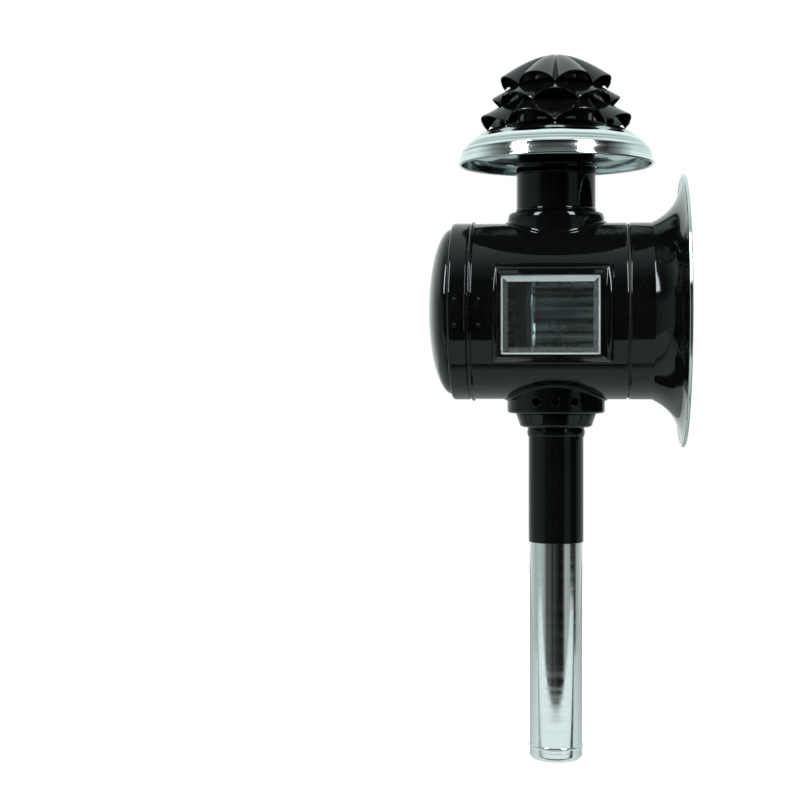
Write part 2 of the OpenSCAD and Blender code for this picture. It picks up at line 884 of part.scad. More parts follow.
module crown_core() {
    // A slotted tube that carries the tiers and lets the smoke out between them
    slot_w = core_r / 3;
    above_tip = 2.7;
    color("black")
        difference() {
            pipe(core_r, core_r - core_wall, core_low, core_high);
            for (level = [low_tip[1] - above_tip, mid_tip[1] + above_tip], i = [0 : petals - 1])
                rotate([0, 0, (i + 0.5) * 360 / petals])
                    translate([0, -slot_w / 2, level])
                        cube([core_r + over, slot_w, slot_w]);
        }
}

bridge_t = 2.5 * core_wall;
bridge_z = core_low + bridge_t;
nut_h = 1.5 * crown_stud_r;

module crown_bridge() {
    // A strip across the core's foot that the stud is drawn down on
    bridge_w = core_r * 0.47;
    color("silver")
        difference() {
            intersection() {
                translate([0, 0, bridge_z])
                    cylinder(r = core_r - core_wall - seat, h = bridge_t);
                translate([-core_r, -bridge_w / 2, bridge_z - over])
                    cube([2 * core_r, bridge_w, bridge_t + 2 * over]);
            }
            translate([0, 0, bridge_z - over])
                cylinder(r = crown_stud_r + 0.1, h = bridge_t + 2 * over);
        }
}

module crown_stud() {
    // Soldered under the crown's dome, threaded at its foot
    peak_sag = 1.0;
    head_z = crown_top - petal_t - peak_sag;
    head_h = 0.6 * crown_stud_r;
    foot_z = bridge_z - nut_h - crown_stud_r;
    color("silver")
        union() {
            translate([0, 0, foot_z])
                cylinder(r = crown_stud_r, h = head_z - head_h - foot_z);
            translate([0, 0, head_z - head_h - ease])
                cylinder(r = crown_stud_r * 2, h = head_h);
        }
}

module crown_nut() {
    color("silver")
        difference() {
            translate([0, 0, bridge_z - nut_h])
                cylinder(r = crown_stud_r * 2.1, h = nut_h, $fn = 6);
            translate([0, 0, bridge_z - nut_h - over])
                cylinder(r = crown_stud_r + seat, h = nut_h + 2 * over);
        }
}

// A curved leaf hugging radius r, between two distances along the drum, just short of the barrel's ends
module curved_leaf(r, y_low, y_high) {
    inset = 1.0;
    intersection() {
        along_drum()
            pipe(r + leaf_t, r, y_low, y_high);
        translate([-drum_r * 1.1, 0, hinge_low + inset])
            cube([drum_r / 2, 2 * drum_back, hinge_h - 2 * inset]);
    }
}

module hinge_barrel(r, low, high) {
    translate([-hinge_x, hinge_y, low])
        cylinder(r = r, h = high - low);
}

// The sheet that wraps from a leaf round to its barrel, cut to the leaf's seat by the caller
module hinge_web(y, low, high) {
    translate([0.2 - hinge_x, y, low])
        cube([hinge_x * 0.1, barrel_r * 0.8, high - low]);
}

hinge_low = hinge_z - hinge_h / 2;
hinge_high = hinge_z + hinge_h / 2;
mid_low = hinge_low + knuckle_h + knuckle_gap;
mid_high = hinge_high - knuckle_h - knuckle_gap;

module hinge_body_leaf() {
    color("black")
        difference() {
            union() {
                curved_leaf(leaf_r, hinge_y - body_leaf_l, hinge_y - 0.5);
                for (span = [[hinge_low, mid_low - knuckle_gap], [mid_high + knuckle_gap, hinge_high]]) {
                    hinge_barrel(barrel_r, span[0], span[1]);
                    hinge_web(hinge_y - barrel_r * 0.8, span[0], span[1]);
                }
            }
            drum_space(drum_r + seat);
            hinge_barrel(barrel_r + ease, mid_low - knuckle_gap, mid_high + knuckle_gap);
            hinge_barrel(pin_r + pin_gap, hinge_low - over, hinge_high + over);
            rivet_holes(body_rivet_y);
        }
}

module hinge_door_leaf() {
    color("black")
        difference() {
            union() {
                curved_leaf(door_leaf_r, hinge_y + 0.8, hinge_y + door_leaf_l);
                hinge_barrel(barrel_r, mid_low, mid_high);
                hinge_web(hinge_y, mid_low, mid_high);
            }
            drum_space(door_leaf_r);
            hinge_barrel(barrel_r + ease, hinge_low - over, mid_low);
            hinge_barrel(barrel_r + ease, mid_high, hinge_high + over);
            hinge_barrel(pin_r + pin_gap, mid_low - over, mid_high + over);
            rivet_holes(door_rivet_y);
        }
}

module hinge_pin() {
    head_h = 0.7;
    color("black")
        union() {
            hinge_barrel(pin_r, hinge_low - head_h, hinge_high + head_h);
            for (z = [hinge_low - head_h, hinge_high])
                hinge_barrel(pin_r + 0.5, z, z + head_h);
        }
}

// Both rivets of a leaf, at a distance along the drum
module at_rivets(y) {
    for (up = [-1, 1])
        translate([0, y, hinge_z + up * rivet_pitch / 2])
            children();
}

module rivet_holes(y) {
    at_rivets(y)
        translate([-drum_r - 2, 0, 0])
            rotate([0, 90, 0])
                cylinder(r = rivet_r * 0.6 + seat, h = 6);
}

module rivets(y, skin, leaf) {
    // A shank from the skin out through the leaf, and a low head on the leaf's face
    for (up = [-1, 1]) {
        off = up * rivet_pitch / 2 - hinge_drop;
        // The shank ends inside the skin's own thickness, so it clears whatever lines the skin
        inside = sqrt(pow(skin, 2) - pow(max(abs(off) - rivet_r * 0.6, 0), 2)) + seat;
        face = sqrt(pow(leaf + leaf_t, 2) - pow(max(abs(off) - rivet_r, 0), 2)) + seat;
        color("black")
            translate([-face, y, hinge_z + up * rivet_pitch / 2])
                rotate([0, 90, 0])
                    union() {
                        cylinder(r = rivet_r * 0.6, h = face - inside);
                        translate([0, 0, -0.5])
                            cylinder(r1 = rivet_r * 0.6, r2 = rivet_r, h = 0.5, $fn = 24);
                    }
    }
}

module hinge_body_rivets() {
    rivets(body_rivet_y, drum_r - drum_wall, leaf_r);
}

module hinge_door_rivets() {
    rivets(door_rivet_y, door_r - door_wall, door_leaf_r);
}

module catch_stud() {
    color("black")
        translate([drum_r + seat, stud_y, drum_z])
            rotate([0, 90, 0])
                cylinder(r = stud_r, h = rear_bead + 0.1);
}

module catch_tongue() {
    // A strap over the drum's bead: its foot is on the door band and its hole drops over the stud
    foot_low = door_y + 1.5;
    foot_high = door_y + 8;
    tip = stud_y - stud_r - 1.3;
    half = 180 / PI * catch_w / 2 / drum_r;
    color("black")
        difference() {
            along_drum_turned(-half)
                turned(
                    [
                        [door_r + seat, foot_low],
                        [door_r + seat, foot_high],
                        [tongue_r + leaf_t, foot_high],
                        [tongue_r + leaf_t, tip + 1],
                        [tongue_r + leaf_t + 1.6, tip],
                        [tongue_r + leaf_t + 0.9, tip - 0.5],
                        [tongue_r, tip + 0.4],
                        [tongue_r, foot_low]
                    ],
                    2 * half
                );
            translate([drum_r, stud_y, drum_z])
                rotate([0, 90, 0])
                    cylinder(r = stud_r + ease, h = 6);
        }
}

// The band's rear edge rolls over and steps in to the dome, which stands just on it
door_end = door_y + door_l;
dome_y = door_end + 4 * seat;
band_round = 1.8;
spigot_r = drum_r - drum_wall - spigot_gap;

module door_band() {
    // One sheet: the flange under the dome, the band, the front flange and the spigot
    side = concat(
        [[dome_r - 1.2, door_end]],
        arc([door_r - band_round, door_end - band_round], band_round, band_round, 90, 0, 6),
        [[door_r, door_y], [spigot_r, door_y], [spigot_r, door_y - spigot_l]]
    );
    color("black")
        difference() {
            along_drum()
                turned(sheet(side, -door_wall));
            rivet_holes(door_rivet_y);
        }
}

module door_dome() {
    // An elliptical dome pressed over the band's inner edge, with a hole for the tail lens
    lens_turn = acos(tail_r / dome_r);
    side = arc([0, dome_y], dome_r, dome_h, 0, lens_turn, 14);
    color("black")
        along_drum()
            turned(sheet(side, door_wall));
}

// Where the dome's hole lies along the drum
dome_lip_y = dome_y + dome_h * sin(acos(tail_r / dome_r));

module tail_lens() {
    // A red glass held behind the dome's hole, its middle swelling out flush with the dome
    rim = tail_r + tail_lip;
    back = dome_lip_y - door_wall - 3.2;
    face = dome_lip_y - door_wall - 1.2;
    color("red")
        along_drum()
            turned(concat(
                [[0, back], [rim, back], [rim, face]],
                [[tail_r - 0.4, face]],
                arc([0, face], tail_r - 0.4, dome_lip_y - face + 0.6, 0, 90, 8)
            ));
}

module tail_lens_ring() {
    // A flanged ring soldered inside the dome that the lens sits in
    rim = tail_r + tail_lip + seat;
    back = dome_lip_y - door_wall - 3.2;
    color("silver")
        along_drum()
            difference() {
                pipe(rim + 0.8, rim, back, dome_lip_y + 3);
                difference() {
                    cylinder(r = rim + 2, h = drum_r * 3);
                    turned(concat(
                        [[0, 0], [dome_r - door_wall - 0.1, 0]],
                        arc([0, dome_y], dome_r - door_wall - 0.1, dome_h - door_wall - 0.1, 0, 90, 14)
                    ));
                }
            }
}

module tail_light_tube() {
    // A dark tube that keeps the candle's light on the tail lens, its foot on the lens ring
    rim = tail_r + tail_lip;
    back = dome_lip_y - door_wall - 3.2;
    color("black")
        along_drum()
            union() {
                pipe(tail_r + 1.2, tail_r + 0.6, door_y + 2, back - seat);
                pipe(rim + 0.8, tail_r + 0.6, back - seat - 0.6, back - seat);
            }
}

module candle_tube() {
    color("silver")
        union() {
            pipe(tube_r, tube_in, end_cap_top + seat, tube_shoulder - 0.4);
            pipe(tube_r, neck_r - tube_wall, tube_shoulder - 0.9, tube_shoulder - 0.4);
            pipe(neck_r, neck_r - tube_wall, tube_shoulder - 0.9, tube_shoulder + neck_l);
        }
}

module candle_tube_ring() {
    // The rolled ring above the tube's end
    ring_z = tube_low + ring_up;
    wire = 0.8;
    color("silver")
        turned(concat(
            [[tube_r + 0.02, ring_z - wire]],
            arc([tube_r + 0.02, ring_z], ring_out, wire, -90, 90, 8),
            [[tube_r + 0.02, ring_z + wire]]
        ));
}

module candle_tube_end() {
    // A pressed cap whose upper part is a spigot in the tube
    inner = tube_in - 0.04;
    spigot_top = end_cap_top + 2 * end_round;
    color("silver")
        turned(concat(
            [[0, tube_low]],
            arc([tube_r - end_round, tube_low + end_round], end_round, end_round, -90, 0, 6),
            [[tube_r, end_cap_top], [inner, end_cap_top]],
            [[inner, spigot_top], [inner - tube_wall, spigot_top]],
            [[inner - tube_wall, tube_low + end_round], [tube_r - end_round, tube_low + tube_cap_in]],
            [[0, tube_low + tube_cap_in]]
        ));
}

pin_z = tube_shoulder + 6;
cap_in = cap_r - cap_wall;

module bayonet_pins() {
    // Two pins soldered to the neck, inside the candle cap's slots
    color("silver")
        for (side_turn = [0, 180])
            rotate([0, 0, side_turn])
                translate([neck_r + seat, 0, pin_z])
                    rotate([0, 90, 0])
                        cylinder(r = bayonet_r, h = cap_r - neck_r - 0.1);
}

module candle_cap() {
    // The cap's round shoulder closes in to the candle's hole; its skirt has two bayonet slots
    slot = bayonet_r + ease;
    side = concat(
        [[cap_r, tube_shoulder]],
        arc([cap_r - cap_round, cap_top - cap_round], cap_round, cap_round, 0, 90, 8),
        [[cap_hole_r, cap_top]]
    );
    half = 180 / PI * slot / cap_r;
    color("silver")
        difference() {
            turned(sheet(side, cap_wall));
            for (side_turn = [0, 180])
                rotate([0, 0, side_turn - bayonet_turn - half]) {
                    slot_cut(pin_z - slot, pin_z + slot, bayonet_turn + 2 * half);
                    slot_cut(tube_shoulder - over, pin_z, 2 * half);
                }
        }
}

// A cut through the cap's skirt between two heights, over an angle
module slot_cut(low, high, sweep) {
    turned([[cap_in - 1, low], [cap_r + 1, low], [cap_r + 1, high], [cap_in - 1, high]], sweep);
}

module candle_follower() {
    skirt_r = spring_r * cos(180 / spring_rings) - spring_wire / 2 - ease;
    color("silver")
        union() {
            translate([0, 0, follower_top - follower_t])
                cylinder(r = follower_r, h = follower_t);
            pipe(skirt_r, skirt_r - 0.5, follower_top - follower_t - follower_skirt, follower_top - 0.2);
        }
}

// The spring's path: closed coils at both ends and an even pitch between
spring_sides = 6;
spring_rings = 8;
spring_span = spring_top - spring_low - spring_wire;
end_coil = 1.06 * spring_wire;

function spring_height(turns) =
    let (last = spring_coils - 1, rise = spring_span - 2 * end_coil)
    turns < 1 ? turns * end_coil
    : turns > last ? end_coil + rise + (turns - last) * end_coil
    : end_coil + (turns - 1) * rise / (spring_coils - 2);

function spring_centre(i) =
    let (turns = i / spring_rings)
    [
        spring_r * cos(turns * 360),
        spring_r * sin(turns * 360),
        spring_low + spring_wire / 2 + spring_height(turns)
    ];

// The gap between two neighbouring coils where the spring is closed up
spring_least_gap = end_coil - spring_wire;

module candle_spring() {
    echo(spring_least_gap = spring_least_gap, spring_pitch = (spring_span - 2 * end_coil) / (spring_coils - 2));
    count = spring_coils * spring_rings;
    points = [
        for (i = [0 : count], k = [0 : spring_sides - 1])
            let (
                c = spring_centre(i),
                turn = i * 360 / spring_rings,
                a = k * 360 / spring_sides,
                w = spring_wire / 2
            )
            c + [w * cos(a) * cos(turn), w * cos(a) * sin(turn), w * sin(a)]
    ];
    sides = [
        for (i = [0 : count - 1], k = [0 : spring_sides - 1])
            let (
                a = i * spring_sides + k,
                b = i * spring_sides + (k + 1) % spring_sides,
                c = a + spring_sides,
                d = b + spring_sides
            )
            each [[a, b, c], [b, d, c]]
    ];
    start = [for (k = [1 : spring_sides - 2]) [0, k + 1, k]];
    end_at = count * spring_sides;
    finish = [for (k = [1 : spring_sides - 2]) [end_at, end_at + k, end_at + k + 1]];
    color("gray")
        polyhedron(points, [for (f = concat(sides, start, finish)) [f[2], f[1], f[0]]]);
}

stem_socket();
socket_bead_ring();
drip_cup();
air_collar();
drum_shell();
drum_lining();
front_sleeve();
front_glass();
front_glass_ring();
front_bell();
bell_lining();
bell_rim_wire();
reflector();
reflector_boss();
reflector_brackets();
window_frame();
window_glass();
window_clips();
chimney_collar();
chimney_tube();
rain_canopy();
crown_core();
crown_bridge();
crown_stud();
crown_nut();
crown_tier_low();
crown_tier_mid();
crown_tier_top();
hinge_body_leaf();
hinge_pin();
hinge_body_rivets();
catch_stud();
door_band();
door_dome();
hinge_door_leaf();
hinge_door_rivets();
catch_tongue();
tail_lens();
tail_lens_ring();
tail_light_tube();
candle_tube();
candle_tube_ring();
candle_tube_end();
bayonet_pins();
candle_spring();
candle_follower();
candle_cap();
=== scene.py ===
"""Looks of the carriage lamp: its pieces, finishes, studio light and camera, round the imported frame."""

import logging
import math
from dataclasses import dataclass
from enum import Enum
from typing import Callable, Optional, Sequence, Union

import bmesh
import bpy
import numpy as np
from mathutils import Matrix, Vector


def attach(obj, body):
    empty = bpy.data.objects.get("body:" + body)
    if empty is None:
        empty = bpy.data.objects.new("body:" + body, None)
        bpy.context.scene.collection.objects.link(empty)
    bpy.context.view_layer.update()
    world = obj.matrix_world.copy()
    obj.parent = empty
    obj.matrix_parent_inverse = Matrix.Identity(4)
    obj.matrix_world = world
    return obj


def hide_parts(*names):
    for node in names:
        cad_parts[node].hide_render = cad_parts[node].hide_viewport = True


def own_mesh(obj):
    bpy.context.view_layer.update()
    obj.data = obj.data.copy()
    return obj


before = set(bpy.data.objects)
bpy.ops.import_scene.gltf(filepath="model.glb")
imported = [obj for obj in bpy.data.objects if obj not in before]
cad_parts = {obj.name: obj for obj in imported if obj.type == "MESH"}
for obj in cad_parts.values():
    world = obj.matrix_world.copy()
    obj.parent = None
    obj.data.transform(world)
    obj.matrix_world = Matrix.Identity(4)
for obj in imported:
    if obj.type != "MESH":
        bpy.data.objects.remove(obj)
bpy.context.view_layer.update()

LOG = logging.getLogger("carriage_lamp")
MM = 0.001

Point = tuple[float, float]
Socket = bpy.types.NodeSocket
Tree = bpy.types.NodeTree
Value = Union[bpy.types.Node, Socket, float, tuple]


class Axis(Enum):
    """The two lines that the lamp's round pieces are turned about."""

    STEM = "stem"
    DRUM = "drum"


class Body(Enum):
    """The frame's bodies, each of which moves as one."""

    LAMP = "lamp"
    DOOR = "rear_door"
    TUBE = "candle_tube_unit"
    FOLLOWER = "follower"
    CAP = "cap"


class Slot(Enum):
    """The record's material slots."""

    ENAMEL = "black_enamel"
    NICKEL = "polished_nickel"
    TIN = "bright_lining"
    DULL = "soot_black_sheet"
    CLEAR = "clear_glass"
    RED = "red_glass"
    STEEL = "spring_steel"


# Height of the drum's axis, and the radius of its skin, in millimetres
DRUM_Z = 70.4
DRUM_R = 49.5


def linear(colour: str) -> tuple[float, float, float, float]:
    """Turns an sRGB hex colour into linear light.

    Args:
        colour: Six hex digits after a hash.

    Returns:
        Red, green, blue and alpha as Blender's sockets take them.
    """
    parts = [int(colour[i:i + 2], 16) / 255 for i in (1, 3, 5)]
    light = [c / 12.92 if c <= 0.04045 else ((c + 0.055) / 1.055) ** 2.4 for c in parts]
    return (*light, 1.0)


def add_node(tree: Tree, kind: str, inputs: Optional[dict] = None, **settings) -> bpy.types.Node:
    """Adds a node with its settings and links.

    Args:
        tree: The node tree that takes the node.
        kind: Blender's name for the node's type.
        inputs: Input names or numbers, each with a socket to link, a node whose first output is
            linked, or a plain value.
        settings: The node's own properties.

    Returns:
        The new node.
    """
    node = tree.nodes.new(kind)
    for key, value in settings.items():
        setattr(node, key, value)
    for key, value in (inputs or {}).items():
        source = value.outputs[0] if isinstance(value, bpy.types.Node) else value
        if isinstance(source, bpy.types.NodeSocket):
            tree.links.new(source, node.inputs[key])
        else:
            node.inputs[key].default_value = source
    return node


def sums(tree: Tree, known: dict[str, Value], steps: Sequence[tuple]) -> dict[str, Value]:
    """Works through a list of sums, each of which may use the results before it.

    Args:
        tree: The node tree to work in.
        known: The values that the sums start from, by name.
        steps: For each sum the name of its result, its operation and its terms: names or plain numbers.

    Returns:
        The known values and every result, by name.
    """
    found = dict(known)
    for name, operation, *terms in steps:
        inputs = {number: found.get(term, term) for number, term in enumerate(terms)}
        found[name] = add_node(tree, "ShaderNodeMath", inputs, operation=operation)
    return found


def spin_lines(tree: Tree, axis: Axis, pitch_mm: float) -> bpy.types.Node:
    """Makes the fine rings that a spinning or buffing tool leaves round a piece.

    Args:
        tree: The material's node tree.
        axis: The axis that the piece turned about on the lathe.
        pitch_mm: The distance between two rings.

    Returns:
        The node that gives a value of about 0 to 1, even round the piece and changing along it.
    """
    place = add_node(tree, "ShaderNodeTexCoord").outputs["Object"]
    x, y, z = add_node(tree, "ShaderNodeSeparateXYZ", {0: place}).outputs
    along, across, lift = (z, y, 0.0) if axis is Axis.STEM else (y, z, DRUM_Z * MM)
    lifted = add_node(tree, "ShaderNodeMath", {0: across, 1: lift}, operation="SUBTRACT")
    flat = add_node(tree, "ShaderNodeCombineXYZ", {0: x, 1: lifted})
    radius = add_node(tree, "ShaderNodeVectorMath", {0: flat}, operation="LENGTH").outputs["Value"]
    # A slow drift round the piece keeps the rings from being perfect
    drift = add_node(tree, "ShaderNodeTexNoise", {"Vector": place, "Scale": 9.0, "Detail": 1.0})
    parts = add_node(tree, "ShaderNodeCombineXYZ", {0: radius, 1: along, 2: drift})
    rate, share = 1 / (pitch_mm * MM), 1.5
    rings = add_node(tree, "ShaderNodeVectorMath", {0: parts, 1: (rate, rate, share)}, operation="MULTIPLY")
    return add_node(tree, "ShaderNodeTexNoise", {"Vector": rings, "Scale": 1.0, "Detail": 3.0})


def grain(tree: Tree, size_mm: float, detail: float = 2.0, stretch: float = 1.0) -> bpy.types.Node:
    """Makes a cloudy pattern whose lumps are about one size.

    Args:
        tree: The material's node tree.
        size_mm: The size of one lump.
        detail: How many finer layers lie over it.
        stretch: How many times longer a lump is along the drum.

    Returns:
        The node that gives a value of about 0 to 1.
    """
    place = add_node(tree, "ShaderNodeTexCoord").outputs["Object"]
    drawn = add_node(tree, "ShaderNodeMapping", {"Vector": place, "Scale": (1.0, 1 / stretch, 1.0)})
    return add_node(tree, "ShaderNodeTexNoise", {
        "Vector": drawn, "Scale": 1 / (size_mm * MM), "Detail": detail})


def relief(tree: Tree, *layers: tuple[bpy.types.Node, float]) -> bpy.types.Node:
    """Raises patterns over one another as bumps.

    Args:
        tree: The material's node tree.
        layers: Each pattern, from 0 to 1, with how far 1 stands above 0 in millimetres, the lowest first.

    Returns:
        The node that gives the shader its normal.
    """
    under = {}
    for pattern, depth_mm in layers:
        top = add_node(tree, "ShaderNodeBump", {
            "Height": pattern, "Distance": depth_mm * MM, "Strength": 1.0, **under})
        under = {"Normal": top}
    return top


def stained(tree: Tree, colours: tuple[str, str], pattern: bpy.types.Node, start: float, full: float,
            most: float = 1.0) -> Socket:
    """Stains one colour with another where a pattern is strong.

    Args:
        tree: The material's node tree.
        colours: The plain colour and the stain, as hex digits after a hash.
        pattern: The pattern, from 0 to 1.
        start: The pattern's value where the stain starts.
        full: The pattern's value where the stain has come to its most.
        most: How much of the stain there is at most.

    Returns:
        The colour for the shader.
    """
    share = add_node(tree, "ShaderNodeMapRange", {0: pattern, 1: start, 2: full, 3: 0.0, 4: most})
    plain, stain = (linear(colour) for colour in colours)
    return add_node(tree, "ShaderNodeMix", {0: share, 6: plain, 7: stain}, data_type="RGBA").outputs[2]


@dataclass(frozen=True)
class Finish:
    """A surface finish, made into a material once and shared by the pieces that have it."""

    name: str
    slot: Slot

    def material(self) -> bpy.types.Material:
        """Returns the finish's material, and makes it the first time."""
        made = bpy.data.materials.get(self.name)
        if made is None:
            made = bpy.data.materials.new(self.name)
            made.use_nodes = True
            tree = made.node_tree
            tree.nodes.clear()
            add_node(tree, "ShaderNodeOutputMaterial", {
                "Surface": add_node(tree, "ShaderNodeBsdfPrincipled", self.surface(tree))})
        return made

    def surface(self, tree: Tree) -> dict[str, Value]:
        """Gives what the finish sets on the shader; each finish has its own."""
        raise NotImplementedError


@dataclass(frozen=True)
class StoveEnamel(Finish):
    """Black stove enamel, sprayed and baked on spun sheet: a deep gloss whose skin is faintly uneven."""

    axis: Axis = Axis.DRUM
    colour: str = "#060707"
    roughness: float = 0.07
    gloss: float = 0.3
    peel_mm: float = 3.2
    peel_depth_mm: float = 0.0016
    ring_depth_mm: float = 0.0012
    sway_depth_mm: float = 0.045

    def surface(self, tree: Tree) -> dict[str, Value]:
        """Lays the enamel's orange peel over the lathe's rings and the sheet's slow waves."""
        # Handling dulls the gloss in faint clouds, and fine dust greys it a little
        clouds, dust = grain(tree, 18.0, 4.0), grain(tree, 0.55, 0.0)
        return {
            "Base Color": stained(tree, (self.colour, "#2E3131"), dust, 0.74, 0.8, 0.55),
            "Roughness": add_node(tree, "ShaderNodeMapRange", {
                0: clouds, 1: 0.35, 2: 0.75, 3: self.roughness * 0.75, 4: self.roughness * 1.6}),
            "Normal": relief(
                tree, (grain(tree, 26.0, 1.0), self.sway_depth_mm),
                (spin_lines(tree, self.axis, 1.1), self.ring_depth_mm),
                (grain(tree, self.peel_mm), self.peel_depth_mm)),
            "Specular IOR Level": self.gloss, "Specular Tint": (0.86, 0.95, 1.0, 1.0),
        }


@dataclass(frozen=True)
class NickelPlate(Finish):
    """Bright nickel plate over spun brass, buffed on the lathe: a cool mirror with fine rings in it."""

    axis: Axis = Axis.DRUM
    colour: str = "#CAD8D7"
    tarnish: str = "#B4C2C1"
    roughness: float = 0.09
    ring_mm: float = 0.45
    ring_depth_mm: float = 0.0011
    sway_mm: float = 21.0
    sway_depth_mm: float = 0.05

    def surface(self, tree: Tree) -> dict[str, Value]:
        """Makes a mirror with slow waves from spinning and fine rings from buffing."""
        lines = spin_lines(tree, self.axis, self.ring_mm)
        # The buffing compound leaves bands that are a little duller than the rest
        bands = spin_lines(tree, self.axis, 3.7)
        return {
            "Base Color": stained(tree, (self.colour, self.tarnish), lines, 0.4, 0.72), "Metallic": 1.0,
            "Roughness": add_node(tree, "ShaderNodeMapRange", {
                0: bands, 1: 0.3, 2: 0.72, 3: self.roughness * 0.6, 4: self.roughness * 1.7}),
            "Normal": relief(
                tree, (grain(tree, self.sway_mm, 1.0), self.sway_depth_mm), (lines, self.ring_depth_mm)),
        }


@dataclass(frozen=True)
class RolledTin(Finish):
    """Tinned sheet rolled into a tube along the drum: its mill's streaks and slow waves run along it, and
    dark streaks drawn the same way are painted into its colour as painted reflections.
    """

    colour: str = "#EEF2F1"
    streak_mm: float = 0.5
    wave_mm: float = 7.0
    drawn: float = 40.0

    def surface(self, tree: Tree) -> dict[str, Value]:
        """Makes tin whose reflections are drawn out along the drum, with painted reflection streaks in its
        colour and smoky patches in its roughness.
        """
        # Dark streaks stretched along the drum darken the colour: painted reflection streaks of the room in
        # the wavy tin
        painted_streaks, smoke = grain(tree, 4.0, 3.0, self.drawn), grain(tree, 16.0, 4.0)
        return {
            "Base Color": stained(tree, (self.colour, "#3C3E3D"), painted_streaks, 0.62, 0.42), "Metallic": 1.0,
            "Roughness": add_node(tree, "ShaderNodeMapRange", {0: smoke, 1: 0.3, 2: 0.7, 3: 0.2, 4: 0.34}),
            "Normal": relief(
                tree, (grain(tree, self.wave_mm, 0.0, self.drawn), 0.9),
                (grain(tree, self.streak_mm, 2.0, self.drawn), 0.006)),
        }


@dataclass(frozen=True)
class DullBlack(Finish):
    """Plain black sheet that the candle's smoke has dulled: matt, with brownish clouds."""

    colour: str = "#101010"

    def surface(self, tree: Tree) -> dict[str, Value]:
        """Makes a matt black with sooty clouds and a rough grain."""
        clouds = grain(tree, 7.0, 5.0)
        return {
            "Base Color": stained(tree, (self.colour, "#1E1A17"), clouds, 0.0, 1.0),
            "Roughness": add_node(tree, "ShaderNodeMapRange", {0: clouds, 1: 0.3, 2: 0.7, 3: 0.42, 4: 0.7}),
            "Normal": relief(tree, (grain(tree, 0.8, 3.0), 0.02)),
        }


@dataclass(frozen=True)
class SpringSteel(Finish):
    """Drawn steel wire and turned fastenings, lightly oiled: a darker grey than the nickel."""

    colour: str = "#8E9090"

    def surface(self, tree: Tree) -> dict[str, Value]:
        """Makes drawn steel with fine pits and darker oil stains."""
        stains = grain(tree, 4.0, 4.0)
        return {
            "Base Color": stained(tree, (self.colour, "#5A5853"), stains, 0.45, 0.8), "Metallic": 1.0,
            "Roughness": add_node(tree, "ShaderNodeMapRange", {0: stains, 1: 0.3, 2: 0.8, 3: 0.2, 4: 0.4}),
            "Normal": relief(tree, (grain(tree, 0.3), 0.004)),
        }


@dataclass(frozen=True)
class PolishedGlass(Finish):
    """Clear or pot-coloured glass, ground and polished, with a faint film of dust on it."""

    colour: str = "#F4FAF8"
    roughness: float = 0.0
    clear: float = 1.0
    wave_mm: float = 14.0
    wave_depth_mm: float = 0.006

    def surface(self, tree: Tree) -> dict[str, Value]:
        """Makes glass whose old surface has slow shallow waves."""
        return {
            "Base Color": linear(self.colour), "IOR": 1.52, "Transmission Weight": self.clear,
            "Roughness": add_node(tree, "ShaderNodeMapRange", {
                0: grain(tree, 6.0, 4.0), 1: 0.55, 2: 0.85, 3: self.roughness, 4: self.roughness + 0.05}),
            "Normal": relief(tree, (grain(tree, self.wave_mm, 1.0), self.wave_depth_mm)),
        }


# Enamel and nickel have one finish for each axis, because the lathe's rings follow it
ENAMEL_DRUM = StoveEnamel("StoveEnamelDrum", Slot.ENAMEL)
ENAMEL_STEM = StoveEnamel("StoveEnamelStem", Slot.ENAMEL, axis=Axis.STEM, sway_depth_mm=0.02)
ENAMEL_SMALL = StoveEnamel("StoveEnamelSmall", Slot.ENAMEL, sway_depth_mm=0.004, peel_mm=1.6)
ENAMEL_CROWN = StoveEnamel(
    "StoveEnamelCrown", Slot.ENAMEL, axis=Axis.STEM, roughness=0.1, gloss=0.62, sway_depth_mm=0.08)
ENAMEL_WINDOW = StoveEnamel("StoveEnamelWindow", Slot.ENAMEL, sway_depth_mm=0.01)
NICKEL_BELL = NickelPlate(
    "NickelBell", Slot.NICKEL, colour="#D6E4E3", tarnish="#8B9998", ring_mm=0.8, ring_depth_mm=0.0026,
    sway_depth_mm=0.04)
NICKEL_MIRROR = NickelPlate(
    "NickelMirror", Slot.NICKEL, tarnish="#8B9998", ring_depth_mm=0.0024, sway_mm=13.0, sway_depth_mm=0.12,
    roughness=0.07)
NICKEL_STEM = NickelPlate(
    "NickelStem", Slot.NICKEL, axis=Axis.STEM, colour="#EEF4F4", tarnish="#E0E8E8", sway_depth_mm=0.006)
NICKEL_CANOPY = NickelPlate(
    "NickelCanopy", Slot.NICKEL, axis=Axis.STEM, colour="#E9F6F5", tarnish="#7C8A89", ring_mm=1.6,
    ring_depth_mm=0.002)
TINNED = NickelPlate(
    "TinnedSheet", Slot.TIN, colour="#B9BDBB", roughness=0.16, sway_mm=9.0, sway_depth_mm=0.05)
ROLLED_TIN = RolledTin("RolledTin", Slot.TIN)
DULL_BLACK = DullBlack("DullBlackSheet", Slot.DULL)
STEEL = SpringSteel("OiledSteel", Slot.STEEL)
CLEAR_GLASS = PolishedGlass("ClearPolishedGlass", Slot.CLEAR)
WINDOW_GLASS = PolishedGlass("WindowGlass", Slot.CLEAR, colour="#E6F4F5", clear=0.994)
BEVEL_GLASS = PolishedGlass(
    "BevelledGlass", Slot.CLEAR, colour="#DDF0EE", clear=0.95, roughness=0.2, wave_mm=2.0, wave_depth_mm=0.06)
# Milkier, rougher glass for the upper bevel, whose pale look is painted brightness for the ceiling it
# refracts
PALE_UPPER_BEVEL_GLASS = PolishedGlass(
    "PaleUpperBevelGlass", Slot.CLEAR, colour="#E0F0EF", clear=0.72, roughness=0.3, wave_mm=2.0,
    wave_depth_mm=0.06)
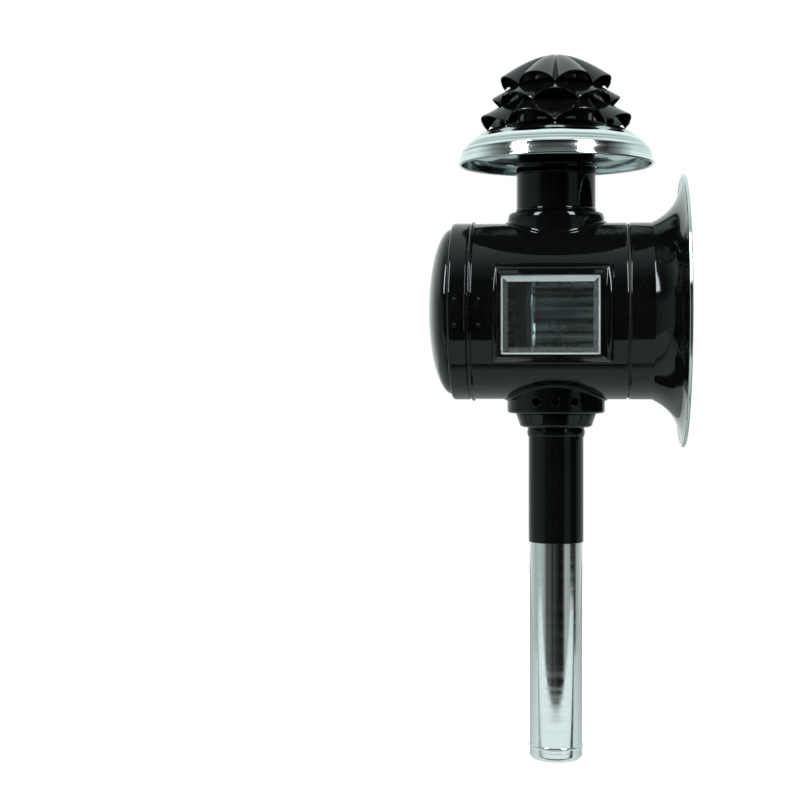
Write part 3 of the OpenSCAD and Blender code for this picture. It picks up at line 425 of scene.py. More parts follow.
# A milky white strip on the glass's outer edge: painted highlight for the bright line along the bevel
GROUND_EDGE_HIGHLIGHT_GLASS = PolishedGlass(
    "GroundEdgePaintedHighlight", Slot.CLEAR, colour="#F0FFFE", clear=0.0, roughness=0.5, wave_mm=3.0)
RED_GLASS = PolishedGlass("RubyGlass", Slot.RED, colour="#C80400", wave_depth_mm=0.002)


def arc(centre: Point, radius: float, start: float, end: float, steps: int) -> list[Point]:
    """Lists points along a round arc.

    Args:
        centre: The arc's centre.
        radius: Its radius.
        start: The angle of its first point in degrees.
        end: The angle of its last point.
        steps: How many pieces it is cut into.

    Returns:
        The points in order.
    """
    turns = [math.radians(start + (end - start) * i / steps) for i in range(steps + 1)]
    return [(centre[0] + radius * math.cos(t), centre[1] + radius * math.sin(t)) for t in turns]


def curve(start: Point, pull: Point, end: Point, steps: int) -> list[Point]:
    """Lists points of the curve that leaves start towards pull and reaches end from pull.

    Args:
        start: The curve's first point.
        pull: The point that bends it.
        end: The curve's last point.
        steps: How many pieces it is cut into.

    Returns:
        The points in order.
    """
    found = []
    for i in range(steps + 1):
        u = i / steps
        found.append(tuple(
            a * (1 - u) ** 2 + b * 2 * u * (1 - u) + c * u * u for a, b, c in zip(start, pull, end)))
    return found


def rounded(corners: Sequence[tuple], steps: int = 5) -> list[Point]:
    """Rounds the corners of an outline that have a radius as their third number.

    Args:
        corners: Points of (radius, height) or (radius, height, rounding), in order round the outline.
        steps: How many pieces each rounding is cut into.

    Returns:
        The outline's points, with a point just before and after each rounding.
    """
    found: list[Point] = []
    count = len(corners)
    for i, corner in enumerate(corners):
        here = Vector(corner[:2])
        if len(corner) < 3 or corner[2] <= 0:
            found.append(tuple(here))
            continue
        before, after = Vector(corners[i - 1][:2]) - here, Vector(corners[(i + 1) % count][:2]) - here
        back, onward = before.normalized(), after.normalized()
        half = before.angle(after) / 2
        reach = min(corner[2] / math.tan(half), before.length * 0.48, after.length * 0.48)
        radius = reach * math.tan(half)
        start, end = here + back * reach, here + onward * reach
        middle = here + (back + onward).normalized() * (radius / math.sin(half))
        first = start - middle
        turn = first.angle_signed(end - middle)
        found.append(tuple(start + back * min(0.12, before.length * 0.02)))
        for step in range(steps + 1):
            a = -turn * step / steps
            spun = Vector((first.x * math.cos(a) - first.y * math.sin(a),
                           first.x * math.sin(a) + first.y * math.cos(a)))
            found.append(tuple(middle + spun))
        found.append(tuple(end + onward * min(0.12, after.length * 0.02)))
    return found


def beside(line: Sequence[Point], offset: float) -> list[Point]:
    """Moves a line of points sideways, keeping its corners mitred.

    Args:
        line: The line's points.
        offset: How far they move, to the left of the line's direction.

    Returns:
        The moved points.
    """
    points = [Vector(p) for p in line]
    normals = []
    for a, b in zip(points, points[1:]):
        way = (b - a).normalized()
        normals.append(Vector((-way.y, way.x)))
    found = []
    for i, point in enumerate(points):
        near, far = normals[max(i - 1, 0)], normals[min(i, len(normals) - 1)]
        middle = (near + far).normalized()
        found.append(tuple(point + middle * (offset / middle.dot(near))))
    return found


def sheet(line: Sequence[Point], wall: float) -> list[Point]:
    """Closes a line into the outline of a sheet whose two edges are rounded over.

    Args:
        line: One face of the sheet.
        wall: The sheet's thickness, to the left of the line's direction.

    Returns:
        The closed outline.
    """
    other = beside(line, wall)[::-1]

    def nose(face: Point, back: Point, tip: Point, inner: Point) -> list[Point]:
        """Lists the points that round an edge between a face's end and the other face's start."""
        middle = (Vector(face) + Vector(back)) / 2
        out = (Vector(tip) - Vector(inner)).normalized() * abs(wall) / 2
        side = (Vector(face) - Vector(back)) / 2
        return [tuple(middle - out + side * math.cos(a) + out * math.sin(a))
                for a in np.radians(range(0, 181, 30))]

    first = nose(other[-1], line[0], line[0], line[1])
    last = nose(line[-1], other[0], line[-1], line[-2])
    return [*first[:-1], *line[1:-1], *last, *other[1:-1]]


def mesh_object(name: str, points: Sequence, faces: Sequence, finish: Finish,
                smooth: float = 35.0) -> bpy.types.Object:
    """Makes a closed mesh object with outward faces.

    Args:
        name: The piece's name.
        points: Its points in millimetres.
        faces: Its faces as lists of point numbers.
        finish: The finish it has all over.
        smooth: The angle in degrees past which an edge is sharp.

    Returns:
        The object, at the origin with its place in its mesh.
    """
    mesh = bpy.data.meshes.new(name)
    mesh.from_pydata([(x * MM, y * MM, z * MM) for x, y, z in points], [], faces)
    tidy(mesh)
    mesh.materials.append(finish.material())
    mesh.shade_smooth()
    mesh.set_sharp_from_angle(angle=math.radians(smooth))
    made = bpy.data.objects.new(name, mesh)
    bpy.context.scene.collection.objects.link(made)
    return made


def tidy(mesh: bpy.types.Mesh, merge_mm: float = 0.0005) -> None:
    """Merges a mesh's doubled points and turns its faces outwards.

    Args:
        mesh: The mesh to mend.
        merge_mm: The distance under which two points are one.
    """
    work = bmesh.new()
    work.from_mesh(mesh)
    bmesh.ops.remove_doubles(work, verts=work.verts, dist=merge_mm * MM)
    bmesh.ops.recalc_face_normals(work, faces=work.faces)
    work.to_mesh(mesh)
    work.free()


def second_finish(made: bpy.types.Object, finish: Finish,
                  wanted: Callable[[bpy.types.MeshPolygon, Vector], bool]) -> bpy.types.Object:
    """Gives some faces of a piece another finish.

    Args:
        made: The piece.
        finish: The finish of the chosen faces.
        wanted: Tells from a face and its middle in millimetres whether it is one of them.

    Returns:
        The piece.
    """
    made.data.materials.append(finish.material())
    number = len(made.data.materials) - 1
    for face in made.data.polygons:
        if wanted(face, face.center / MM):
            face.material_index = number
    return made


def placed(radius: float, height: float, turn: float, axis: Axis) -> tuple[float, float, float]:
    """Places a point of a turned piece in the lamp's frame, in millimetres."""
    across, up = radius * math.cos(turn), radius * math.sin(turn)
    return (across, up, height) if axis is Axis.STEM else (across, height, DRUM_Z + up)


def lathe(name: str, outline: Sequence[Point], axis: Axis, finish: Finish, segments: int = 256,
          smooth: float = 35.0) -> bpy.types.Object:
    """Turns a closed outline about an axis.

    Args:
        name: The piece's name.
        outline: Points of (radius, height) in millimetres; two may lie on the axis.
        axis: The axis it turns about.
        finish: Its finish.
        segments: How many steps the turn has.
        smooth: The angle in degrees past which an edge is sharp.

    Returns:
        The turned object.
    """
    count = len(outline)
    turns = [2 * math.pi * i / segments for i in range(segments)]
    points = [placed(r, h, t, axis) for t in turns for r, h in outline]
    faces = []
    for i in range(segments):
        a, b = i * count, (i + 1) % segments * count
        for j in range(count):
            k = (j + 1) % count
            if outline[j][0] > 1e-6 or outline[k][0] > 1e-6:
                faces.append((a + j, a + k, b + k, b + j))
    return mesh_object(name, points, faces, finish, smooth)


def loft(name: str, rings: Sequence[Sequence], finish: Finish, closed: bool = True,
         smooth: float = 35.0) -> bpy.types.Object:
    """Skins a run of rings that have the same number of points.

    Args:
        name: The piece's name.
        rings: Rings of points in millimetres.
        finish: Its finish.
        closed: Whether the last ring meets the first; otherwise both ends are capped.
        smooth: The angle in degrees past which an edge is sharp.

    Returns:
        The skinned object.
    """
    count = len(rings[0])
    points = [p for ring in rings for p in ring]
    faces = []
    for i in range(len(rings) if closed else len(rings) - 1):
        a, b = i * count, (i + 1) % len(rings) * count
        for j in range(count):
            k = (j + 1) % count
            faces.append((a + j, a + k, b + k, b + j))
    if not closed:
        faces.append(tuple(range(count)))
        faces.append(tuple((len(rings) - 1) * count + j for j in reversed(range(count))))
    return mesh_object(name, points, faces, finish, smooth)


def settled(made: bpy.types.Object) -> bpy.types.Object:
    """Bakes an object's modifiers into a plain mesh and removes them.

    Args:
        made: The object with live modifiers.

    Returns:
        The same object with its final mesh.
    """
    graph = bpy.context.evaluated_depsgraph_get()
    graph.update()
    result = bpy.data.meshes.new_from_object(made.evaluated_get(graph))
    made.modifiers.clear()
    made.data = result
    return made


def cut_away(made: bpy.types.Object, cutters: Sequence[bpy.types.Object],
             operation: str = "DIFFERENCE", smooth: float = 35.0) -> bpy.types.Object:
    """Cuts other shapes out of a piece and removes those shapes.

    Args:
        made: The piece to cut.
        cutters: The shapes to take out of it.
        operation: DIFFERENCE, or INTERSECT to keep only what lies in the cutter.
        smooth: The angle in degrees past which an edge is sharp.

    Returns:
        The piece, cut.
    """
    for number, cutter in enumerate(cutters):
        cut = made.modifiers.new(f"cut_{number}", "BOOLEAN")
        cut.operation, cut.object, cut.solver = operation, cutter, "EXACT"
    settled(made)
    for cutter in cutters:
        shape = cutter.data
        bpy.data.objects.remove(cutter)
        bpy.data.meshes.remove(shape)
    tidy(made.data)
    made.data.shade_smooth()
    made.data.set_sharp_from_angle(angle=math.radians(smooth))
    return made


def rod(radius: float, start: Sequence[float], end: Sequence[float], sides: int = 96) -> bpy.types.Object:
    """Makes a plain round cutter between two points in millimetres.

    Args:
        radius: Its radius.
        start: The centre of one end.
        end: The centre of the other end.
        sides: How many sides it has.

    Returns:
        The cutter.
    """
    low, high = Vector(start), Vector(end)
    way = (high - low).normalized()
    first = way.orthogonal().normalized()
    second = way.cross(first)
    rings = []
    for centre in (low, high):
        rings.append([tuple(centre + (first * math.cos(t) + second * math.sin(t)) * radius)
                      for t in (2 * math.pi * i / sides for i in range(sides))])
    return loft("cutter", rings, ENAMEL_SMALL, closed=False)


def block(low: Sequence[float], high: Sequence[float]) -> bpy.types.Object:
    """Makes a box-shaped cutter between two corners in millimetres."""
    (x0, y0, z0), (x1, y1, z1) = low, high
    floor = [(x0, y0, z0), (x1, y0, z0), (x1, y1, z0), (x0, y1, z0)]
    return loft("cutter", [floor, [(x, y, z1) for x, y, _ in floor]], ENAMEL_SMALL, closed=False)


def bevelled(made: bpy.types.Object, width_mm: float, angle: float = 40.0,
             segments: int = 3) -> bpy.types.Object:
    """Rounds a piece's sharp edges so that they catch the light.

    Args:
        made: The piece.
        width_mm: How far the rounding reaches from an edge.
        angle: The angle in degrees past which an edge is rounded.
        segments: How many faces the rounding has.

    Returns:
        The piece with rounded edges.
    """
    bevel = made.modifiers.new("edge", "BEVEL")
    bevel.width, bevel.segments = width_mm * MM, segments
    bevel.limit_method, bevel.angle_limit = "ANGLE", math.radians(angle)
    bevel.use_clamp_overlap = True
    settled(made)
    made.data.shade_smooth()
    made.data.set_sharp_from_angle(angle=math.radians(32))
    return made


def redressed(node: str, name: str, finish: Finish, bevel_mm: float) -> bpy.types.Object:
    """Copies a small CAD piece, joins its loose faces and rounds its edges.

    Args:
        node: The CAD node to copy.
        name: The copy's name.
        finish: The copy's finish.
        bevel_mm: How far its edges are rounded.

    Returns:
        The dressed copy.
    """
    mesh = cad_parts[node].data.copy()
    mesh.materials.clear()
    mesh.materials.append(finish.material())
    for stale in [a.name for a in mesh.attributes if a.name.startswith("custom_normal")]:
        mesh.attributes.remove(mesh.attributes[stale])
    made = bpy.data.objects.new(name, mesh)
    bpy.context.scene.collection.objects.link(made)
    work = bmesh.new()
    work.from_mesh(mesh)
    bmesh.ops.remove_doubles(work, verts=work.verts, dist=0.001 * MM)
    bmesh.ops.dissolve_limit(
        work, angle_limit=math.radians(0.5), verts=work.verts, edges=work.edges, delimit={"NORMAL"})
    work.to_mesh(mesh)
    work.free()
    mesh.shade_smooth()
    mesh.set_sharp_from_angle(angle=math.radians(30))
    return bevelled(made, bevel_mm) if bevel_mm > 0 else made


def issue(made: bpy.types.Object, body: Body, finish: Finish, *nodes: str) -> bpy.types.Object:
    """Hands a finished piece to the frame: its body and the nodes it stands for.

    Args:
        made: The finished piece.
        body: The body it moves with.
        finish: Its finish; not used.
        nodes: The CAD nodes that it replaces.

    Returns:
        The piece.
    """
    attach(made, body.value)
    if nodes:
        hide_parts(*nodes)
    LOG.info("%s: %d faces", made.name, len(made.data.polygons))
    return made


def issue_copy(node: str, name: str, body: Body, finish: Finish, bevel_mm: float = 0.0) -> None:
    """Dresses a copy of a small CAD piece and hands it to the frame in that piece's place.

    Args:
        node: The CAD node to copy.
        name: The copy's name.
        body: The body it moves with.
        finish: Its finish.
        bevel_mm: How far its edges are rounded.
    """
    issue(redressed(node, name, finish, bevel_mm), body, finish, node)


def saddle(radius: float, turn: float, skin: float, above: bool) -> float:
    """Finds the height at which an upright line meets a cylinder about the drum's axis.

    Args:
        radius: The line's distance from the stem's axis.
        turn: Its direction round the stem, in radians.
        skin: The cylinder's radius.
        above: Whether the upper crossing is wanted, rather than the lower.

    Returns:
        The height in millimetres.
    """
    rise = math.sqrt(skin ** 2 - (radius * math.cos(turn)) ** 2)
    return DRUM_Z + (rise if above else -rise)


def saddle_lathe(name: str, outline: Sequence[tuple], above: bool, finish: Finish,
                 segments: int = 256) -> bpy.types.Object:
    """Turns an outline about the stem, part of which follows the drum.

    Args:
        name: The piece's name.
        outline: Points of (radius, height), or of (radius, height, skin) whose height is counted
            away from the drum's axis, from the cylinder of that radius.
        above: Whether the piece stands on the drum's top.
        finish: Its finish.
        segments: How many steps the turn has.

    Returns:
        The turned object.
    """
    rings = []
    for i in range(segments):
        turn = 2 * math.pi * i / segments
        ring = []
        for radius, height, *skin in outline:
            if skin:
                height = saddle(radius, turn, skin[0], above) + (height if above else -height)
            ring.append(placed(radius, height, turn, Axis.STEM))
        rings.append(ring)
    return loft(name, rings, finish)


def collar_foot(radius: float, wall: float, fillet: float, flange: float, out: float) -> list[tuple]:
    """Lists the outline of a collar's wall where it spreads into a flange on the drum.

    Args:
        radius: The wall's outer radius.
        wall: Its thickness.
        fillet: The hollow rounding between wall and flange.
        flange: The flange's thickness.
        out: How far the flange spreads.

    Returns:
        Points from the wall's outside, over the flange, to the wall's inside.
    """
    seat = DRUM_R + 0.05
    top = seat + flange
    hollow = [(radius + fillet * (1 - math.cos(a)), fillet * (1 - math.sin(a)), top)
              for a in np.radians(range(0, 91, 15))]
    edge = radius + out
    return [
        (radius, fillet + 0.15, top), *hollow,
        (edge - 0.3, 0.0, top), (edge - 0.08, -0.06, top), (edge, -0.22, top), (edge, 0.0, seat),
        (radius - wall, 0.0, seat),
    ]


class NodeShape:
    """A Geometry Nodes tree with named inputs that makes one plain mesh."""

    def __init__(self, name: str, sizes: dict[str, float]) -> None:
        """Starts a tree.

        Args:
            name: The tree's name.
            sizes: Its named inputs with their values, in metres, degrees or counts.
        """
        self.tree = bpy.data.node_groups.new(name, "GeometryNodeTree")
        self.sizes = sizes
        face = self.tree.interface
        face.new_socket("Geometry", in_out="INPUT", socket_type="NodeSocketGeometry")
        face.new_socket("Geometry", in_out="OUTPUT", socket_type="NodeSocketGeometry")
        for label, value in sizes.items():
            kind = "NodeSocketInt" if isinstance(value, int) else "NodeSocketFloat"
            face.new_socket(label, in_out="INPUT", socket_type=kind)
        start = add_node(self.tree, "NodeGroupInput")
        self.given = {label: start.outputs[label] for label in sizes}

    def add(self, kind: str, inputs: Optional[dict] = None, **settings) -> bpy.types.Node:
        """Adds a node to the tree."""
        return add_node(self.tree, kind, inputs, **settings)

    def points(self, places: Sequence[Sequence[float]]) -> bpy.types.Node:
        """Makes a cloud of single points.

        Args:
            places: Where the points go.

        Returns:
            The node that gives them.
        """
        join = self.add("GeometryNodeJoinGeometry")
        for place in places:
            dot = self.add("GeometryNodePoints", {"Count": 1, "Position": place})
            self.tree.links.new(dot.outputs[0], join.inputs[0])
        return join

    def made(self, name: str, result: bpy.types.Node, finish: Finish,
             smooth: float = 35.0) -> bpy.types.Object:
        """Ends the tree, evaluates it once and keeps its plain mesh.

        Args:
            name: The piece's name.
            result: The node whose geometry the tree ends with.
            finish: The finish it has all over.
            smooth: The angle in degrees past which an edge is sharp.

        Returns:
            The finished object.
        """
        real = self.add("GeometryNodeRealizeInstances", {0: result})
        dressed = self.add("GeometryNodeSetMaterial", {"Geometry": real, "Material": finish.material()})
        self.add("NodeGroupOutput", {0: dressed})
        holder = bpy.data.objects.new(name, bpy.data.meshes.new(name))
        bpy.context.scene.collection.objects.link(holder)
        modifier = holder.modifiers.new("shape", "NODES")
        modifier.node_group = self.tree
        names = {item.name: item.identifier for item in self.tree.interface.items_tree
                 if item.in_out == "INPUT"}
        for label, value in self.sizes.items():
            modifier[names[label]] = value
        settled(holder)
        tidy(holder.data)
        holder.data.shade_smooth()
        holder.data.set_sharp_from_angle(angle=math.radians(smooth))
        return holder


@dataclass
class Stem:
    """The black socket that the bracket grips, its bead, the drip cup and the pierced air collar."""

    radius: float = 15.4
    bore: float = 14.9
    upper: float = 15.7
    low: float = -59.0
    high: float = 22.0
    cup_low: float = 5.1
    cup_high: float = 13.3
    cup_bend: Point = (20.6, 7.6)
    cup_lip: Point = (22.6, 12.95)
    collar: float = 27.4
    wall: float = 0.8
    clearance: float = 0.05
    hole_z: float = 20.1
    hole_r: float = 2.4
    lip_r: float = 0.3
    hole_turns: tuple[float, ...] = (-22.5, 0.0, 22.5, 157.5, 180.0, 202.5)

    def build(self) -> None:
        """Builds and issues the stem's pieces."""
        issue(self.socket(), Body.LAMP, ENAMEL_STEM, "stem_socket")
        issue(self.bead(), Body.LAMP, ENAMEL_STEM, "socket_bead_ring")
        issue(self.drip_cup(), Body.LAMP, ENAMEL_STEM, "drip_cup")
        issue(self.air_collar(), Body.LAMP, ENAMEL_STEM, "air_collar")
        issue(self.eyelets(), Body.LAMP, ENAMEL_STEM)

    def socket(self) -> bpy.types.Object:
        """Turns the socket, whose lower lip is eased where the candle tube enters."""
        return lathe("stem_socket_spun", rounded([
            (self.bore, self.low, 0.15), (self.radius, self.low, 0.25), (self.radius, -0.02),
            (self.upper, 0.0), (self.upper, self.high, 0.2), (self.bore, self.high),
        ]), Axis.STEM, ENAMEL_STEM)

    def bead(self) -> bpy.types.Object:
        """Turns the half-round bead at the socket's top."""
        inner, middle, half, out = self.upper + self.clearance, 2.55, 2.0, 0.45
        round_edge = [(inner + out * math.sin(a), middle - half * math.cos(a))
                      for a in np.radians(range(0, 181, 10))]
        return lathe("socket_bead_spun", round_edge, Axis.STEM, ENAMEL_STEM)

    def drip_cup(self) -> bpy.types.Object:
        """Turns the cup, whose corner rolls out from the socket into a flared side."""
        start, pull = (self.upper + self.clearance, self.cup_low), (self.cup_bend[0], self.cup_low)
        side = [*curve(start, pull, self.cup_bend, 16), self.cup_lip]
        return lathe("drip_cup_spun", sheet(side, self.wall), Axis.STEM, ENAMEL_STEM)

    def air_collar(self) -> bpy.types.Object:
        """Turns the collar under the drum and punches its air holes."""
        wall, inner, corner = self.wall, self.upper + self.clearance, 1.6
        drill_from, drill_to = 24.5, 31.0
        bend = arc((self.collar - corner, self.cup_high + corner), corner, -90, 0, 8)
        outline = [
            (inner, self.cup_high), (self.collar - corner - 0.15, self.cup_high), *bend,
            (self.collar, self.cup_high + corner + 0.15),
            *collar_foot(self.collar, wall, 0.7, 0.6, 1.4),
            (self.collar - wall, self.cup_high + corner), (self.collar - corner, self.cup_high + wall),
            (inner, self.cup_high + wall),
        ]
        made = saddle_lathe("air_collar_spun", outline, False, ENAMEL_STEM)
        drills = []
        for turn in self.hole_turns:
            way = Vector((math.cos(math.radians(turn)), math.sin(math.radians(turn)), 0))
            middle = Vector((0, 0, self.hole_z))
            drills.append(rod(self.hole_r, middle + way * drill_from, middle + way * drill_to, 64))
        return cut_away(made, drills)

    def eyelets(self) -> bpy.types.Object:
        """Rolls a thin lip round each punched air hole, with Geometry Nodes."""
        tree = NodeShape("air_hole_lips", {
            "Hole Radius": self.hole_r * MM, "Lip Radius": self.lip_r * MM,
            "Collar Radius": self.collar * MM, "Height": self.hole_z * MM,
        })
        circle = "GeometryNodeCurvePrimitiveCircle"
        ring = tree.add(circle, {"Resolution": 40, "Radius": tree.given["Hole Radius"]})
        wire = tree.add(circle, {"Resolution": 10, "Radius": tree.given["Lip Radius"]})
        lip = tree.add("GeometryNodeCurveToMesh", {0: ring, 1: wire})
        marks = tree.points([(math.cos(t), math.sin(t), 0.0) for t in map(math.radians, self.hole_turns)])
        way = tree.add("GeometryNodeInputPosition")
        out = tree.add("ShaderNodeVectorMath", {
            0: way, "Scale": tree.given["Collar Radius"]}, operation="SCALE")
        lift = tree.add("ShaderNodeCombineXYZ", {2: tree.given["Height"]})
        spot = tree.add("ShaderNodeVectorMath", {0: out, 1: lift}, operation="ADD")
        turned = tree.add("FunctionNodeAlignRotationToVector", {"Vector": way}, axis="Z")
        set_out = tree.add("GeometryNodeInstanceOnPoints", {
            "Points": marks, "Instance": lip, "Rotation": turned})
        moved = tree.add("GeometryNodeSetPosition", {"Geometry": set_out, "Position": spot})
        return tree.made("air_hole_lips", moved, ENAMEL_STEM)


@dataclass
class Drum:
    """The lamp's round body and its bright lining, both cut for the chimney, the stem and the window."""

    radius: float = DRUM_R
    wall: float = 0.8
    front: float = -39.6
    back: float = 47.2
    bead_y: float = 46.1
    bead: float = 1.1
    curl: float = 1.6
    lining: float = 48.65
    lining_wall: float = 0.5
    lining_front: float = -35.0
    lining_back: float = 42.9
    chimney_hole: float = 20.6
    stem_hole: float = 20.0
    window_cut: tuple[tuple, tuple] = ((-60, -25.3, 45.0), (-25, 29.5, 89.4))
    hinge_gap: tuple[tuple, tuple] = ((-60, 40, 58.1), (-30, 50, 79.1))

    def build(self) -> None:
        """Builds and issues the drum's pieces."""
        issue(self.shell(), Body.LAMP, ENAMEL_DRUM, "drum_shell")
        issue(self.liner(), Body.LAMP, ROLLED_TIN, "drum_lining")

    def cutters(self) -> list[bpy.types.Object]:
        """Makes the upright holes and the window's cut."""
        near, far = 20, 55
        return [
            rod(self.chimney_hole, (0, 0, DRUM_Z + near), (0, 0, DRUM_Z + far)),
            rod(self.stem_hole, (0, 0, DRUM_Z - far), (0, 0, DRUM_Z - near)),
            block(*self.window_cut),
        ]

    def shell(self) -> bpy.types.Object:
        """Turns the drum, whose front edge curls in to the groove and whose back edge carries a bead."""
        r, wall = self.radius, self.wall
        curl = [(r - 0.72 * (1 - math.cos(a)), self.front + self.curl * (1 - math.sin(a)))
                for a in np.radians(range(90, -1, -10))]
        roll = [(r - 0.02 + self.bead * math.cos(a), self.bead_y + self.bead * math.sin(a))
                for a in np.radians(range(-82, 83, 8))]
        outline = [
            (r - wall, self.front + 0.1), *curl, (r, self.front + self.curl + 0.2),
            (r, self.bead_y - self.bead - 0.55), (r, self.bead_y - self.bead - 0.4),
            (r + 0.04, self.bead_y - self.bead - 0.2), *roll,
            (r - 0.05, self.back), (r - wall, self.back),
        ]
        made = lathe("drum_shell_spun", outline, Axis.DRUM, ENAMEL_DRUM, 320)
        # The bead stops either side of the hinge
        out, low, high = r + 4, 43.0, 48.5
        gap = lathe("cutter", [(r, low), (out, low), (out, high), (r, high)], Axis.DRUM, ENAMEL_DRUM, 320)
        cut_away(gap, [block(*self.hinge_gap)], "INTERSECT")
        return cut_away(made, [*self.cutters(), gap])

    def liner(self) -> bpy.types.Object:
        """Turns the lining and cuts it like the shell."""
        outer, inner = self.lining, self.lining - self.lining_wall
        made = lathe("drum_lining_bright", rounded([
            (outer, self.lining_front), (outer, self.lining_back),
            (inner, self.lining_back, 0.1), (inner, self.lining_front, 0.1),
        ]), Axis.DRUM, ROLLED_TIN)
        return cut_away(made, self.cutters())


@dataclass
class Bell:
    """The trumpet mouth: a black flare with a nickel lining, a wired edge and a flat glass in its throat."""

    neck: float = DRUM_R
    neck_y: float = -40.4
    flare_y: float = -53.0
    pull: Point = (56.3, -68.2)
    edge: Point = (73.85, -69.575)
    wall: float = 0.7
    lining_wall: float = 0.5
    curl: float = 1.6
    wire: float = 1.0
    mouth: Point = (75.0, -70.2)
    sleeve_r: float = 48.65
    sleeve_bore: float = 47.95
    sleeve_front: float = -50.0
    sleeve_back: float = -35.0
    glass_r: float = 47.9
    glass_front: float = -40.0
    glass_back: float = -37.4

    def build(self) -> None:
        """Builds and issues the bell's pieces."""
        flare = curve((self.neck, self.flare_y), self.pull, self.edge, 44)
        issue(self.outside(flare), Body.LAMP, ENAMEL_DRUM, "front_bell")
        issue(self.inside(flare), Body.LAMP, NICKEL_BELL, "bell_lining")
        wire = lathe("bell_rim_wire_drawn", arc(self.mouth, self.wire, 0, 350, 28),
                     Axis.DRUM, NICKEL_BELL, 320)
        issue(wire, Body.LAMP, NICKEL_BELL, "bell_rim_wire")
        issue(self.sleeve(), Body.LAMP, NICKEL_BELL, "front_sleeve")
        issue(self.glass(), Body.LAMP, CLEAR_GLASS, "front_glass")
        issue(self.glass_ring(), Body.LAMP, NICKEL_BELL, "front_glass_ring")

    def outside(self, flare: list[Point]) -> bpy.types.Object:
        """Turns the black flare, whose neck curls in to the groove behind it."""
        curl = [(self.neck - 0.65 * (1 - math.cos(a)), self.neck_y - self.curl * (1 - math.sin(a)))
                for a in np.radians(range(0, 91, 10))]
        outer = [*curl, (self.neck, self.neck_y - self.curl - 0.2), *flare]
        inner = beside([(self.neck, self.neck_y), *flare], -self.wall)[::-1]
        return lathe("front_bell_spun", [*outer, *inner], Axis.DRUM, ENAMEL_DRUM, 320)

    def inside(self, flare: list[Point]) -> bpy.types.Object:
        """Turns the nickel lining from the sleeve's end to the mouth."""
        face = beside(flare, -self.wall - 0.05)
        line = [(face[0][0], self.flare_y + 0.4), *face]
        return lathe("bell_lining_bright", sheet(line, -self.lining_wall), Axis.DRUM, NICKEL_BELL, 320)

    def sleeve(self) -> bpy.types.Object:
        """Turns the sleeve that joins drum and bell; its outside, where the groove shows it, is matt black as
        painted shade for the deep groove.
        """
        outer, bore, lip = self.sleeve_r, self.sleeve_bore, self.glass_back
        inner, back = bore - 1.4, lip + 0.7
        made = lathe("front_sleeve_bright", rounded([
            (outer, self.sleeve_front), (outer, self.sleeve_back), (bore, self.sleeve_back, 0.1),
            (bore, back), (inner, back, 0.2), (inner, lip, 0.2), (bore, lip),
            (bore, self.sleeve_front, 0.3),
        ]), Axis.DRUM, NICKEL_BELL)
        # The sleeve's outside is painted matt black: painted shade for the deep groove between drum and bell
        return second_finish(
            made, DULL_BLACK, lambda _, middle: math.hypot(middle.x, middle.z - DRUM_Z) > outer - 0.1)

    def glass(self) -> bpy.types.Object:
        """Turns the flat front glass, its edge ground to a small bevel."""
        edge, front, back = self.glass_r, self.glass_front, self.glass_back
        return lathe("front_glass_clear", rounded([
            (0.0, front), (edge, front, 0.25), (edge, back, 0.25), (0.0, back),
        ]), Axis.DRUM, CLEAR_GLASS, 160)

    def glass_ring(self) -> bpy.types.Object:
        """Turns the split ring that holds the glass in."""
        outer, high, half = self.glass_r, self.glass_front, 0.8
        round_edge = arc((outer - half, high - half), half, -90, -180, 8)
        return lathe("front_glass_ring_bright", [
            (outer, high), (outer, high - 2 * half), *round_edge, (outer - 2 * half, high),
        ], Axis.DRUM, NICKEL_BELL)


@dataclass
class Reflector:
    """The stepped and dished mirror behind the flame, its ferrule and the three straps that carry it."""

    radius: float = 43.1
    rim_y: float = 12.6
    dish: float = 36.0
    step_y: float = 14.2
    back_y: float = 22.4
    wall: float = 0.6
    boss: float = 19.4
    hole: float = 10.6
    bright: float = 41.2
    notch: float = 16.02
    notch_low: float = 10.0
    notch_top: float = 43.7

    def build(self) -> None:
        """Builds and issues the reflector's pieces."""
        issue(self.mirror(), Body.LAMP, NICKEL_MIRROR, "reflector")
        issue(self.ferrule(), Body.LAMP, NICKEL_MIRROR, "reflector_boss")
        issue_copy("reflector_brackets", "reflector_straps", Body.LAMP, TINNED, 0.12)

    def mirror(self) -> bpy.types.Object:
        """Turns the mirror and cuts its notch round the candle cap."""
        rim, step = self.rim_y, self.step_y
        bowl = curve(
            (self.dish, step + 1.4), (self.boss + 9, self.back_y), (self.boss + 1.2, self.back_y), 28)
        face = [
            (self.radius, rim + 2.4), (self.radius, rim), (self.radius - 1.2, rim), (self.dish + 0.6, step),
            *bowl, (self.boss - 3, self.back_y),
        ]
        back = beside(face, -self.wall)[::-1]
        bends = ((1, 0.45), (2, 0.4), (3, 0.5))
        for number, radius in bends:
            face[number] = (*face[number], radius)
            back[-1 - number] = (*back[-1 - number], radius / 2)
        made = lathe("reflector_spun", rounded([*face, *back]), Axis.DRUM, NICKEL_MIRROR)
        notched = cut_away(made, [rod(self.notch, (0, 0, self.notch_low), (0, 0, self.notch_top))])
        # Its back and its rim are japanned
        return second_finish(notched, DULL_BLACK, lambda face, middle: (
            face.normal.y > 0.05 or math.hypot(middle.x, middle.z - DRUM_Z) > self.bright))

    def ferrule(self) -> bpy.types.Object:
        """Turns the ferrule with its rolled front edge and the floor round the tail light's hole."""
        roll, front = 1.3, self.rim_y + 1.2
        side = [
            (self.boss, self.back_y - 0.05), *arc((self.boss - roll, front + roll), roll, 0, -180, 16),
            (self.boss - 2 * roll - 0.4, self.back_y - 3.4), (self.hole, self.back_y - 1.8),
        ]
        return lathe("reflector_ferrule", sheet(side, 0.5), Axis.DRUM, NICKEL_MIRROR, smooth=50)


